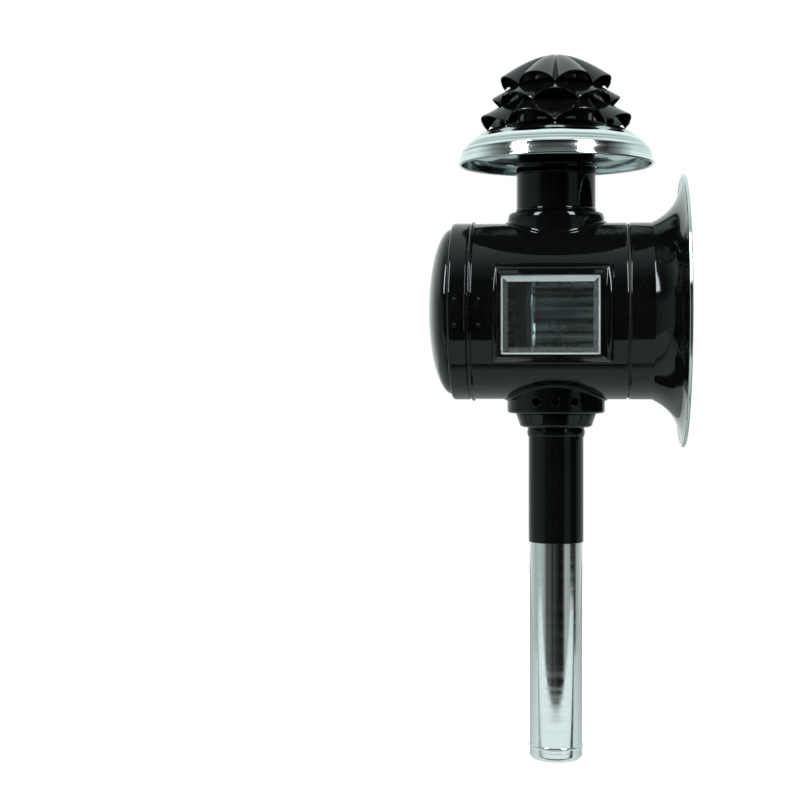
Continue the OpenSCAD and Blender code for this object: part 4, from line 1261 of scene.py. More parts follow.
def framed(width: float, height: float, y: float, z: float, depth: Callable[[float], float],
           corner: float = 0.0, side_steps: int = 20) -> list[tuple[float, float, float]]:
    """Lists the points of a rectangle on the lamp's window side.

    Args:
        width: Its width along Y.
        height: Its height along Z.
        y: Its centre along Y.
        z: Its centre along Z.
        depth: Gives X for a point's height.
        corner: The rounding of its corners.
        side_steps: How many pieces each side is cut into.

    Returns:
        Its points, starting at the lower front corner.
    """
    half_w, half_h = width / 2 - corner, height / 2 - corner
    centres = [(half_w, -half_h), (half_w, half_h), (-half_w, half_h), (-half_w, -half_h)]
    bows = [arc(centre, corner, turn, turn + 90, 4) for centre, turn in zip(centres, (-90, 0, 90, 180))]
    places = []
    for bow, after in zip(bows, [*bows[1:], bows[0]]):
        (last_y, last_z), (next_y, next_z) = bow[-1], after[0]
        shares = [i / side_steps for i in range(1, side_steps)]
        places += [*bow, *[(last_y + (next_y - last_y) * u, last_z + (next_z - last_z) * u) for u in shares]]
    return [(depth(z + b), y + a, z + b) for a, b in places]


def flat(x: float) -> Callable[[float], float]:
    """Gives the same depth at every height."""
    return lambda _height: x


def sunk(x: float, share: float) -> Callable[[float], float]:
    """Gives a depth that bends back with the drum by a share of the drum's own bend."""
    return lambda height: x + share * (DRUM_R - math.sqrt(DRUM_R ** 2 - (height - DRUM_Z) ** 2))


def on_skin(out: float) -> Callable[[float], float]:
    """Gives the depth of the drum's skin, some way out, at each height."""
    return lambda height: -math.sqrt((DRUM_R + out) ** 2 - (height - DRUM_Z) ** 2)


def proud(depth: Callable[[float], float], out: float) -> Callable[[float], float]:
    """Gives a depth that stays at least some way outside the drum's skin."""
    return lambda height: min(depth(height), on_skin(out)(height))


@dataclass
class Window:
    """The side window: a beaded frame soldered to the drum, its bevelled glass and the clips behind."""

    width: float = 52.8
    height: float = 42.4
    y: float = 2.1
    z: float = 67.2
    outer_w: float = 65.2
    outer_h: float = 53.6
    outer_y: float = 1.1
    outer_z: float = 68.4
    face: float = -52.0
    side: float = -50.0
    pocket: float = -50.7
    mitre: float = 0.8
    bead: float = 1.9
    bead_rise: float = 0.75
    glass_back: float = -49.0
    glass_edge: float = -50.4
    glass_top: float = -52.4
    glass_w: float = 45.2
    glass_h: float = 34.8

    def build(self) -> None:
        """Builds and issues the window's pieces."""
        issue(self.frame(), Body.LAMP, ENAMEL_WINDOW, "window_frame")
        issue(self.pane(), Body.LAMP, WINDOW_GLASS, "window_glass")
        issue_copy("window_clips", "window_clips_bent", Body.LAMP, TINNED, 0.08)

    def between(self, share: float) -> tuple[float, float, float, float]:
        """Gives width, height and centre of a rectangle between the outer edge at 0 and the opening at 1."""
        inner = (self.width + self.mitre, self.height + self.mitre, self.y, self.z)
        outer = (self.outer_w, self.outer_h, self.outer_y, self.outer_z)
        return tuple(a + (b - a) * share for a, b in zip(outer, inner))

    def profile(self, lip: float) -> list[Point]:
        """Lists the frame's section from the bead on its outer edge, through the cove, to the opening.

        Args:
            lip: How far across the frame the opening's edge lies.

        Returns:
            How far across the frame each point lies, from 0 to 1, and its depth at the drum's middle.
        """
        band = (self.outer_w - self.width - self.mitre) / 2
        crest, last = self.side - self.bead_rise, math.radians(118)
        found = [(self.bead * (1 - math.cos(turn)) / band, crest + self.bead * (1 - math.sin(turn)))
                 for turn in np.linspace(math.radians(20), last, 15)]
        foot, valley = found[-1]
        # A cubic leaves the bead at the bead's own slope and reaches the opening's edge
        slope = math.tan(last - math.pi / 2) * band
        for u in np.linspace(0.12, 0.96, 9):
            across = (lip - foot) * u
            rise = (self.face - valley) * u * u * (2.2 - 1.2 * u)
            found.append((foot + across, valley + across * slope * (1 - u) ** 2 + rise))
        return found

    def frame(self) -> bpy.types.Object:
        """Lofts the frame from the drum, over its beaded edge and its sloping face, into the pocket."""
        lip, bend, seat = 0.985, 0.95, 0.05

        def opening(grow: float, depth: Callable[[float], float], corner: float = 0.3) -> list[tuple]:
            """Lists a rectangle a little larger than the opening."""
            return framed(self.width + grow, self.height + grow, self.y, self.z, depth, corner)

        rings = [framed(*self.between(0.0), on_skin(out), 0.5) for out in (seat, 0.3)]
        for share, depth in self.profile(lip):
            face = proud(sunk(depth, bend * (1 - share ** 2)), 0.3 + 0.2 * share)
            rings.append(framed(*self.between(share), face, 0.5))
        rings += [
            framed(*self.between(lip), flat(self.face), 0.4), opening(0.25, flat(self.face + 0.02), 0.4),
            opening(0.04, flat(self.face + 0.16), 0.35), opening(0, flat(self.face + 0.4)),
            opening(0, flat(self.pocket)), opening(2, flat(self.pocket)), opening(2, on_skin(seat)),
        ]
        return loft("window_frame_mitred", rings, ENAMEL_WINDOW, smooth=28)

    def pane(self) -> bpy.types.Object:
        """Lofts the glass with its broad bevels and softened arrises."""
        back, front, top, tuck = self.glass_back, self.glass_edge, self.glass_top, 0.8
        sections = (
            (self.width, self.height, 2 * tuck - 0.3, back, 0.5),
            (self.width, self.height, 2 * tuck, back - 0.15, 0.5),
            (self.width, self.height, 2 * tuck, front, 0.5),
            (self.width, self.height, -1.8, front - 0.74, 0.4),
            (self.glass_w, self.glass_h, 0.25, top + 0.055, 0.3),
            (self.glass_w, self.glass_h, -0.1, top, 0.2),
        )
        rings = [framed(wide + grow, tall + grow, self.y, self.z, flat(depth), corner, 2)
                 for wide, tall, grow, depth, corner in sections]
        made = loft("window_glass_bevelled", rings, WINDOW_GLASS, closed=False, smooth=4)

        def inset(middle: Vector) -> float:
            """Measures how far inside the frame's opening a face of the glass lies."""
            return min(self.width / 2 - abs(middle.y - self.y), self.height / 2 - abs(middle.z - self.z))

        bevel, rim = 3.4, 0.6
        second_finish(made, BEVEL_GLASS, lambda _, middle: middle.x < front and inset(middle) < bevel)
        # The upper bevel is milkier and rougher, so it looks paler: painted brightness for the bright ceiling
        # it refracts
        second_finish(made, PALE_UPPER_BEVEL_GLASS, lambda _, middle: (
            middle.x < front and inset(middle) < bevel and middle.z > self.z + self.glass_h / 2))
        # The outermost strip of the bevel is milky white, a painted highlight for the bright line along the
        # glass's edge
        return second_finish(made, GROUND_EDGE_HIGHLIGHT_GLASS, lambda _, middle: middle.x < front and inset(middle) < rim)


@dataclass
class Chimney:
    """The chimney's saddle collar, the beaded tube and the bright rain canopy on top."""

    collar_r: float = 27.0
    collar_top: float = 125.3
    radius: float = 22.1
    wall: float = 0.8
    top: float = 175.3
    bead: float = 0.8
    beads: tuple[float, ...] = (147.3, 151.9)
    canopy_r: float = 54.3
    canopy_z: float = 153.1

    def build(self) -> None:
        """Builds and issues the chimney's pieces."""
        issue(self.collar(), Body.LAMP, ENAMEL_STEM, "chimney_collar")
        issue(self.tube(), Body.LAMP, ENAMEL_STEM, "chimney_tube")
        issue(self.canopy(), Body.LAMP, NICKEL_CANOPY, "rain_canopy")

    def collar(self) -> bpy.types.Object:
        """Turns the collar over the drum, with a round shoulder and a foot that follows the drum."""
        corner, tall, wall, inner = 1.5, 3.8, self.wall, self.radius + 0.05
        r, top = self.collar_r, self.collar_top
        shoulder = [(r - corner * (1 - math.cos(a)), top - tall * (1 - math.sin(a)))
                    for a in np.radians(range(90, -1, -9))]
        outline = [
            (inner, top), (r - corner - 0.12, top), *shoulder, *collar_foot(r, wall, 1.0, 0.6, 1.4),
            (r - wall, top - tall), (r - corner, top - wall), (inner, top - wall),
        ]
        return saddle_lathe("chimney_collar_spun", outline, True, ENAMEL_STEM)

    def tube(self) -> bpy.types.Object:
        """Turns the chimney tube with its two swaged beads, its foot on the drum."""
        r, skirt = self.radius, DRUM_R + 0.05
        foot = [(r + 0.45 * math.cos(a), self.collar_top + 1.5 + 1.15 * math.sin(a))
                for a in np.radians(range(-90, 91, 15))]
        outline = [(r - self.wall, 0.0, skirt), (r, 0.0, skirt), (r, self.collar_top + 0.3), *foot]
        for middle in self.beads:
            outline += [
                (r, middle - self.bead - 0.35), (r + 0.04, middle - self.bead - 0.12),
                *[(r + 0.1 + (self.bead - 0.1) * math.cos(a), middle + self.bead * math.sin(a))
                  for a in np.radians(range(-78, 79, 13))],
                (r + 0.04, middle + self.bead + 0.12), (r, middle + self.bead + 0.35),
            ]
        outline += [(r, self.top - 0.2), (r, self.top), (r - self.wall, self.top)]
        return saddle_lathe("chimney_tube_beaded", outline, True, ENAMEL_STEM)

    def canopy(self) -> bpy.types.Object:
        """Turns the canopy: a rolled rim, a leaning skirt, a crease and a low dome."""
        rim, wall = self.canopy_z, 0.7
        knee, lift = (self.canopy_r - 1.4, rim + 6.66), 0.35
        plain = curve((knee[0] - 0.2, knee[1] + 0.4), (42.5, 174.4), (self.radius + 0.05, self.top), 90)
        # Shallow ridges that the spinning tool left, which fade out to the tube and to the crease
        first, last, pitch, depth, fade = 22.1, 51.0, 4.4, 0.13, 4.0
        dome = []
        for x, z in plain:
            if first + 0.1 < x < last:
                fading = min(1, (x - first) / fade, (last - x) / fade)
                z -= depth * (1 + math.sin(2 * math.pi * (x - first + 0.1) / pitch)) * fading
            dome.append((x, z))
        skirt = [(self.canopy_r, rim), (knee[0] + 0.04, knee[1] - 0.2), (knee[0] - 0.03, knee[1] + 0.1)]
        outer = [*skirt, *dome]
        inner = beside(outer, wall)[::-1]
        roll = arc((self.canopy_r - wall / 2, rim), 0.8, 150, 395, 14)
        outline = [*inner[:-1], *roll, *[p for p in outer if p[1] > rim + lift]]
        return lathe("rain_canopy_spun", outline, Axis.STEM, NICKEL_CANOPY, 320)


@dataclass
class Tier:
    """One tier of the crown: its name, tip, inner ring, knee, drop and inset of its valleys, and its turn."""

    name: str
    tip: Point
    ring: Point
    knee: Point
    drop: float
    inset: float
    first: float
    wall: float = 0.6

    def build(self, petals: int = 8) -> bpy.types.Object:
        """Presses the tier's arches out of a flat grid with Geometry Nodes.

        Args:
            petals: How many arches go round it.

        Returns:
            The tier as a plain mesh.
        """
        rows, steps, weld = 28, 28, 0.002 * MM
        shape = NodeShape(self.name, {
            "Petals": petals, "Tip Radius": self.tip[0] * MM, "Tip Height": self.tip[1] * MM,
            "Ring Radius": self.ring[0] * MM, "Ring Height": self.ring[1] * MM,
            "Knee Radius": self.knee[0] * MM, "Knee Height": self.knee[1] * MM,
            "Drop": self.drop * MM, "Inset": self.inset * MM, "Turn": self.first,
            "Sheet": self.wall * MM, "Roundness": 1.3,
        })
        grid = shape.add("GeometryNodeMeshGrid", {
            "Size X": 1.0, "Size Y": 1.0, "Vertices X": rows + 1, "Vertices Y": petals * steps + 1})
        place = shape.add("ShaderNodeSeparateXYZ", {0: shape.add("GeometryNodeInputPosition")}).outputs
        known = sums(shape.tree, {**shape.given, "x": place[0], "y": place[1]}, (
            ("out", "ADD", "x", 0.5),
            ("part", "ADD", "y", 0.5),
            ("angle", "MULTIPLY", "part", 2 * math.pi),
            # How far round its own petal a point lies: 0 on the ridge and 1 in the valley
            ("start", "DIVIDE", "Turn", 360.0),
            ("from start", "SUBTRACT", "part", "start"),
            ("count", "MULTIPLY", "from start", "Petals"),
            ("ridge", "ROUND", "count"),
            ("off ridge", "SUBTRACT", "count", "ridge"),
            ("half aside", "ABSOLUTE", "off ridge"),
            ("aside", "MULTIPLY", "half aside", 2.0),
            # The petal's arch is part of a circle: 1 on the ridge and 0 in the valley
            ("circle", "MULTIPLY", "Roundness", "Roundness"),
            ("foot square", "SUBTRACT", "circle", 1.0),
            ("foot", "SQRT", "foot square"),
            ("aside square", "MULTIPLY", "aside", "aside"),
            ("bow square", "SUBTRACT", "circle", "aside square"),
            ("bow", "SQRT", "bow square"),
            ("bow over foot", "SUBTRACT", "bow", "foot"),
            ("top over foot", "SUBTRACT", "Roundness", "foot"),
            ("arch", "DIVIDE", "bow over foot", "top over foot"),
            ("low", "SUBTRACT", 1.0, "arch"),
            # The ridge runs from the ring by the knee to the tip
            ("back", "SUBTRACT", 1.0, "out"),
            ("near", "MULTIPLY", "back", "back"),
            ("slant", "MULTIPLY", "out", "back"),
            ("mid", "MULTIPLY", "slant", 2.0),
            ("far", "MULTIPLY", "out", "out"),
            *(step for label in ("Radius", "Height") for step in (
                (f"ring {label}", "MULTIPLY", f"Ring {label}", "near"),
                (f"knee {label}", "MULTIPLY_ADD", f"Knee {label}", "mid", f"ring {label}"),
                (f"ridge {label}", "MULTIPLY_ADD", f"Tip {label}", "far", f"knee {label}"),
            )),
            # The valleys lie lower and further in than the ridges
            ("tuck", "MULTIPLY", "Inset", "low"),
            ("tuck here", "MULTIPLY", "tuck", "far"),
            ("radius", "SUBTRACT", "ridge Radius", "tuck here"),
            ("share", "DIVIDE", "ridge Radius", "Tip Radius"),
            ("reach", "MULTIPLY", "share", "out" if self.ring[0] > 0 else 1.0),
            ("sag", "MULTIPLY", "Drop", "low"),
            ("sag here", "MULTIPLY", "sag", "reach"),
            ("height", "SUBTRACT", "ridge Height", "sag here"),
            ("cosine", "COSINE", "angle"),
            ("sine", "SINE", "angle"),
            ("east", "MULTIPLY", "radius", "cosine"),
            ("north", "MULTIPLY", "radius", "sine"),
            ("down", "MULTIPLY", "Sheet", -1.0),
        ))
        spot = shape.add("ShaderNodeCombineXYZ", {0: known["east"], 1: known["north"], 2: known["height"]})
        upper = shape.add("GeometryNodeSetPosition", {0: grid, "Position": spot})
        # The sheet's thickness lies straight down, as in the solid
        down = shape.add("ShaderNodeCombineXYZ", {2: known["down"]})
        skin = shape.add("GeometryNodeMergeByDistance", {0: upper, "Distance": weld})
        thick = shape.add("GeometryNodeExtrudeMesh", {
            "Mesh": skin, "Offset": down, "Offset Scale": 1.0, "Individual": False})
        turned_over = shape.add("GeometryNodeFlipFaces", {0: skin})
        both = shape.add("GeometryNodeJoinGeometry")
        shape.tree.links.new(thick.outputs[0], both.inputs[0])
        shape.tree.links.new(turned_over.outputs[0], both.inputs[0])
        whole = shape.add("GeometryNodeMergeByDistance", {0: both, "Distance": weld})
        made = shape.made(self.name, whole, ENAMEL_CROWN, 50)
        return bevelled(made, 0.16, 60, 2)


@dataclass
class Crown:
    """The three tiers of arched petals, the slotted core they stand on and the stud that ties them down."""

    core: float = 21.25
    slope: float = 28.0
    top: float = 214.7
    low_tip: Point = (43.6, 178.7)
    mid_tip: Point = (35.9, 190.6)
    top_tip: Point = (32.1, 201.0)

    def stepped(self, name: str, tip: Point, drop: float, inset: float, first: float) -> Tier:
        """Describes a lower tier, whose straight ridges rise to the core."""
        ring = (self.core, tip[1] + (tip[0] - self.core) * math.tan(math.radians(self.slope)))
        knee = ((tip[0] + ring[0]) / 2, (tip[1] + ring[1]) / 2)
        return Tier(name, tip, ring, knee, drop, inset, first)

    def build(self) -> None:
        """Builds and issues the crown's pieces."""
        tiers = (
            self.stepped("crown_petals_low", self.low_tip, 5.7, 5.2, 22.5),
            self.stepped("crown_petals_mid", self.mid_tip, 5.1, 3.3, 0.0),
            Tier("crown_petals_top", self.top_tip, (0.0, self.top),
                 (self.top_tip[0] * 0.38, self.top), 5.3, 3.3, 22.5),
        )
        for tier, node in zip(tiers, ("crown_tier_low", "crown_tier_mid", "crown_tier_top")):
            issue(tier.build(), Body.LAMP, ENAMEL_CROWN, node)
        issue_copy("crown_core", "crown_core_slotted", Body.LAMP, DULL_BLACK)
        issue_copy("crown_bridge", "crown_bridge_strip", Body.LAMP, TINNED, 0.15)
        issue(self.stud(), Body.LAMP, STEEL, "crown_stud")
        issue_copy("crown_nut", "crown_nut_hexagon", Body.LAMP, STEEL, 0.25)

    def stud(self) -> bpy.types.Object:
        """Turns the stud, with a fine thread at its foot and a broad head under the dome."""
        r, foot, head = 2.0, 164.8, 213.1
        thread = []
        for i in range(16):
            z = foot + 0.5 + i * 0.5
            thread += [(r, z), (r - 0.22, z + 0.25)]
        return lathe("crown_stud_threaded", [
            (0.0, foot), (r - 0.4, foot), *thread, (r, foot + 8.6), (r, head - 1.5),
            (2 * r - 0.2, head - 1.5), (2 * r, head - 1.3), (2 * r, head - 0.5),
            (2 * r - 0.2, head - 0.3), (0.0, head - 0.3),
        ], Axis.STEM, STEEL, 48, 25)


def rivet_heads(name: str, places: Sequence[Sequence[float]]) -> bpy.types.Object:
    """Sets domed rivet heads on the hinge's leaves with Geometry Nodes.

    Args:
        name: The piece's name.
        places: The middle of each head's foot in millimetres.

    Returns:
        The heads of one body as one mesh.
    """
    radius, height = 1.0, 0.45
    shape = NodeShape(name, {"Head Radius": radius * MM, "Head Height": height * MM})
    ball = shape.add("GeometryNodeMeshUVSphere", {"Segments": 28, "Rings": 14, "Radius": 1.0})
    size = shape.add("ShaderNodeCombineXYZ", {
        0: shape.given["Head Height"], 1: shape.given["Head Radius"], 2: shape.given["Head Radius"]})
    head = shape.add("GeometryNodeTransform", {"Geometry": ball, "Scale": size})
    marks = shape.points([[c * MM for c in place] for place in places])
    heads = shape.add("GeometryNodeInstanceOnPoints", {"Points": marks, "Instance": head})
    return shape.made(name, heads, ENAMEL_SMALL)


@dataclass
class Hinge:
    """The rear door's hinge and catch: curved leaves, a loose pin, domed rivets and a sprung tongue."""

    z: float = 68.6
    pitch: float = 13.8
    head: float = 1.0
    body_y: float = 40.7
    door_y: float = 53.8
    body_skin: float = 50.3
    door_skin: float = 50.6

    def build(self) -> None:
        """Builds and issues the hinge's and the catch's pieces."""
        for node, name, body in (
            ("hinge_body_leaf", "hinge_leaf_fixed", Body.LAMP),
            ("hinge_pin", "hinge_pin_headed", Body.LAMP),
            ("catch_stud", "catch_stud_turned", Body.LAMP),
            ("hinge_door_leaf", "hinge_leaf_moving", Body.DOOR),
            ("catch_tongue", "catch_tongue_sprung", Body.DOOR),
        ):
            issue_copy(node, name, body, ENAMEL_SMALL, 0.14)
        fixed = rivet_heads("hinge_rivets_fixed", self.feet(self.body_y, self.body_skin))
        issue(fixed, Body.LAMP, ENAMEL_SMALL, "hinge_body_rivets")
        moving = rivet_heads("hinge_rivets_moving", self.feet(self.door_y, self.door_skin))
        issue(moving, Body.DOOR, ENAMEL_SMALL, "hinge_door_rivets")

    def feet(self, y: float, skin: float) -> list[tuple[float, float, float]]:
        """Places two rivets on a leaf that curves with the drum."""
        found = []
        for z in (self.z - self.pitch / 2, self.z + self.pitch / 2):
            away = max(abs(z - DRUM_Z) - self.head, 0)
            found.append((-math.sqrt(skin ** 2 - away ** 2) - 0.05, y, z))
        return found


@dataclass
class RearDoor:
    """The hinged rear door: its band with a spigot, the pressed dome and the red tail light."""

    band: float = 49.8
    spigot: float = 48.3
    reach: float = 4.5
    front: float = 47.7
    end: float = 57.9
    dome: float = 46.7
    dome_y: float = 58.1
    dome_h: float = 13.0
    lens: float = 11.4
    lens_back: float = 66.7
    lens_face: float = 68.7

    def build(self) -> None:
        """Builds and issues the door's pieces."""
        issue(self.rim(), Body.DOOR, ENAMEL_DRUM, "door_band")
        issue(self.cover(), Body.DOOR, ENAMEL_DRUM, "door_dome")
        issue(self.glass(), Body.DOOR, RED_GLASS, "tail_lens")
        issue(self.lens_ring(), Body.DOOR, TINNED, "tail_lens_ring")
        issue(self.shade(), Body.DOOR, DULL_BLACK, "tail_light_tube")

    def rim(self) -> bpy.types.Object:
        """Turns the band: a ledge for the dome, a rolled edge, the band, its flange and the spigot."""
        wall, ledge = 0.8, self.dome - 1.2
        return lathe("door_band_spun", rounded([
            (ledge, self.end), (self.band, self.end, 1.8), (self.band, self.front, 0.7),
            (self.spigot, self.front), (self.spigot, self.front - self.reach),
            (self.spigot - wall, self.front - self.reach, 0.2),
            (self.spigot - wall, self.front + wall, 0.3), (self.band - wall, self.front + wall, 0.3),
            (self.band - wall, self.end - wall, 1.0), (ledge, self.end - wall),
        ], 8), Axis.DRUM, ENAMEL_DRUM, 320)

    def cover(self) -> bpy.types.Object:
        """Turns the elliptical dome, its hole drawn to a smooth lip round the lens."""
        last = math.degrees(math.acos(self.lens / self.dome))
        face = [(self.dome * math.cos(t), self.dome_y + self.dome_h * math.sin(t))
                for t in np.radians(np.linspace(0, last, 48))]
        return lathe("door_dome_pressed", sheet(face, 0.8), Axis.DRUM, ENAMEL_DRUM, 320)

    def glass(self) -> bpy.types.Object:
        """Turns the red lens, whose middle swells out through the dome's hole."""
        rim, show, rise = self.lens + 1.4, self.lens - 0.4, 2.6
        swell = [(show * math.cos(t), self.lens_face + rise * math.sin(t))
                 for t in np.radians(range(0, 91, 6))]
        return lathe("tail_lens_ruby", [
            (0.0, self.lens_back), (rim - 0.3, self.lens_back), (rim, self.lens_back + 0.3),
            (rim, self.lens_face - 0.2), (rim - 0.2, self.lens_face), *swell[:-1],
            (0.0, self.lens_face + rise),
        ], Axis.DRUM, RED_GLASS, 128, 30)

    def lens_ring(self) -> bpy.types.Object:
        """Turns the ring inside the dome that the lens sits in."""
        inner, outer, inside, outside = 12.85, 13.65, 69.66, 69.6
        return lathe("tail_lens_ring_bright", rounded([
            (inner, self.lens_back), (outer, self.lens_back, 0.2), (outer, outside), (inner, inside),
        ]), Axis.DRUM, TINNED, 128)

    def shade(self) -> bpy.types.Object:
        """Turns the dark tube that keeps the candle's light on the lens."""
        inner, outer, low, high = 12.0, 12.6, 49.7, 66.65
        return lathe("tail_light_tube_spun", rounded([
            (inner, low, 0.15), (outer, low, 0.15), (outer, high - 0.6), (outer + 1, high - 0.6, 0.2),
            (outer + 1, high), (inner, high),
        ]), Axis.DRUM, DULL_BLACK, 128)


def arc_block(inner: float, outer: float, low: float, high: float, start: float,
              sweep: float) -> bpy.types.Object:
    """Makes a curved cutter round the stem.

    Args:
        inner: Its inner radius.
        outer: Its outer radius.
        low: Its lower end.
        high: Its upper end.
        start: The angle it starts at, in degrees.
        sweep: The angle it covers.

    Returns:
        The cutter.
    """
    rings = []
    for turn in np.radians(np.linspace(start, start + sweep, 14)):
        rings.append([placed(r, z, turn, Axis.STEM)
                      for r, z in ((inner, low), (outer, low), (outer, high), (inner, high))])
    return loft("cutter", rings, ENAMEL_SMALL, closed=False)


@dataclass
class CandleTube:
    """The nickel tube that draws out of the stem, with its rolled ring, cap, spring, follower and bayonet."""

    radius: float = 14.82
    bore: float = 14.32
    neck: float = 14.02
    low: float = -180.8
    end_top: float = -175.5
    end_round: float = 3.0
    shoulder: float = 21.9
    neck_top: float = 35.3
    ring_z: float = -173.1
    cap_r: float = 14.62
    cap_low: float = 22.3
    cap_top: float = 40.7
    cap_hole: float = 6.2
    pin_z: float = 28.3
    twist: float = 30.0
    push: float = 150.0
    spring_low: float = -180.0
    spring_top: float = 37.3
    spring_r: float = 11.32
    wire: float = 1.2
    coils: int = 30

    def build(self) -> None:
        """Builds and issues the tube's, the follower's and the cap's pieces."""
        issue(self.tube(), Body.TUBE, NICKEL_STEM, "candle_tube")
        issue(self.ring(), Body.TUBE, NICKEL_STEM, "candle_tube_ring")
        issue(self.end_cap(), Body.TUBE, NICKEL_STEM, "candle_tube_end")
        issue_copy("bayonet_pins", "bayonet_pins_turned", Body.TUBE, STEEL, 0.15)
        spring = issue(self.spring(), Body.TUBE, STEEL, "candle_spring")
        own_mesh(spring)
        issue(self.follower(), Body.FOLLOWER, STEEL, "candle_follower")
        issue(self.cap(), Body.CAP, NICKEL_STEM, "candle_cap")

    def tube(self) -> bpy.types.Object:
        """Turns the tube with the shoulder and the narrower neck that carries the cap."""
        wall = self.radius - self.bore
        return lathe("candle_tube_drawn", rounded([
            (self.bore, self.end_top + 0.05), (self.radius, self.end_top + 0.05, 0.12),
            (self.radius, self.shoulder, 0.4), (self.neck, self.shoulder, 0.2),
            (self.neck, self.neck_top, 0.15), (self.neck - wall, self.neck_top, 0.15),
            (self.neck - wall, self.shoulder - wall), (self.bore, self.shoulder - wall),
        ]), Axis.STEM, NICKEL_STEM)

    def ring(self) -> bpy.types.Object:
        """Turns the rolled ring above the tube's end."""
        inner = self.radius + 0.02
        bulge = [(inner + 0.35 * math.sin(t), self.ring_z - 0.8 * math.cos(t))
                 for t in np.radians(range(0, 181, 10))]
        return lathe("candle_tube_ring_rolled", bulge, Axis.STEM, NICKEL_STEM)

    def end_cap(self) -> bpy.types.Object:
        """Turns the pressed cap at the tube's foot, its upper part a spigot in the tube."""
        inner, wall, top = self.bore - 0.04, 0.5, self.end_top + 6.0
        centre = (self.radius - self.end_round, self.low + self.end_round)
        corner = arc(centre, self.end_round, -90, 0, 12)
        hollow = [(min(r, inner - wall), z) for r, z in arc(centre, self.end_round - wall, 0, -90, 8)]
        return lathe("candle_tube_end_pressed", [
            (0.0, self.low), (self.radius - self.end_round - 0.3, self.low), *corner,
            (self.radius, self.end_top - 0.12), (self.radius - 0.12, self.end_top), (inner, self.end_top),
            (inner, top), (inner - wall, top), *hollow, (0.0, self.low + wall),
        ], Axis.STEM, NICKEL_STEM)

    def spring(self) -> bpy.types.Object:
        """Winds the spring with Geometry Nodes: closed coils at both ends and an even pitch between."""
        span = self.spring_top - self.spring_low - self.wire
        closed = 1.06 * self.wire
        shape = NodeShape("candle_spring_wound", {
            "Coils": self.coils, "Coil Radius": self.spring_r * MM, "Wire Radius": self.wire / 2 * MM,
            "Foot": (self.spring_low + self.wire / 2) * MM, "Closed Pitch": closed * MM,
            "Open Pitch": (span - 2 * closed) / (self.coils - 2) * MM,
        })
        steps = 28.0
        known = sums(shape.tree, {**shape.given, "index": shape.add("GeometryNodeInputIndex")}, (
            ("points", "MULTIPLY_ADD", "Coils", steps, 1.0),
            ("turns", "DIVIDE", "index", steps),
            ("past first", "SUBTRACT", "turns", 1.0),
            ("begun", "MAXIMUM", "past first", 0.0),
            ("open coils", "SUBTRACT", "Coils", 2.0),
            ("middle", "MINIMUM", "begun", "open coils"),
            ("low end", "MINIMUM", "turns", 1.0),
            ("last", "SUBTRACT", "Coils", 1.0),
            ("past last", "SUBTRACT", "turns", "last"),
            ("top end", "MAXIMUM", "past last", 0.0),
            ("ends", "ADD", "low end", "top end"),
            ("rise", "MULTIPLY_ADD", "ends", "Closed Pitch", "Foot"),
            ("height", "MULTIPLY_ADD", "middle", "Open Pitch", "rise"),
            ("angle", "MULTIPLY", "turns", 2 * math.pi),
            ("cosine", "COSINE", "angle"),
            ("sine", "SINE", "angle"),
            ("east", "MULTIPLY", "cosine", "Coil Radius"),
            ("north", "MULTIPLY", "sine", "Coil Radius"),
        ))
        path = shape.add("GeometryNodeResampleCurve", {
            0: shape.add("GeometryNodeCurvePrimitiveLine"), "Count": known["points"]})
        spot = shape.add("ShaderNodeCombineXYZ", {0: known["east"], 1: known["north"], 2: known["height"]})
        wound = shape.add("GeometryNodeSetPosition", {0: path, "Position": spot})
        section = shape.add("GeometryNodeCurvePrimitiveCircle", {
            "Resolution": 10, "Radius": shape.given["Wire Radius"]})
        wire = shape.add("GeometryNodeCurveToMesh", {0: wound, 1: section, "Fill Caps": True})
        return shape.made("candle_spring_wound", wire, STEEL, 60)

    def follower(self) -> bpy.types.Object:
        """Turns the plate that the candle stands on, with a skirt that centres the spring."""
        top, r, skirt = 38.35, 13.02, 9.558
        return lathe("candle_follower_turned", rounded([
            (0.0, top), (r, top, 0.3), (r, top - 1, 0.3), (skirt, top - 1), (skirt, top - 7, 0.15),
            (skirt - 0.5, top - 7, 0.15), (skirt - 0.5, top - 1), (0.0, top - 1),
        ]), Axis.STEM, STEEL, 128)

    def cap(self) -> bpy.types.Object:
        """Turns the cap, whose shoulder closes in to the candle's hole, and cuts its bayonet slots."""
        corner, wall, slot = 5.0, 0.5, 1.2
        side = [
            (self.cap_r, self.cap_low), (self.cap_r, self.cap_top - corner - 0.3),
            *arc((self.cap_r - corner, self.cap_top - corner), corner, 0, 90, 16),
            (self.cap_hole, self.cap_top),
        ]
        made = lathe("candle_cap_spun", sheet(side, wall), Axis.STEM, NICKEL_STEM)
        half = math.degrees(slot / self.cap_r)
        inside, outside = 13, 16
        cutters = []
        for turn in (0, 180):
            start, sweep = turn - self.twist - half, self.twist + 2 * half
            cutters.append(arc_block(inside, outside, self.pin_z - slot, self.pin_z + slot, start, sweep))
            cutters.append(arc_block(inside, outside, self.cap_low - 1, self.pin_z, start, 2 * half))
        return cut_away(made, cutters)


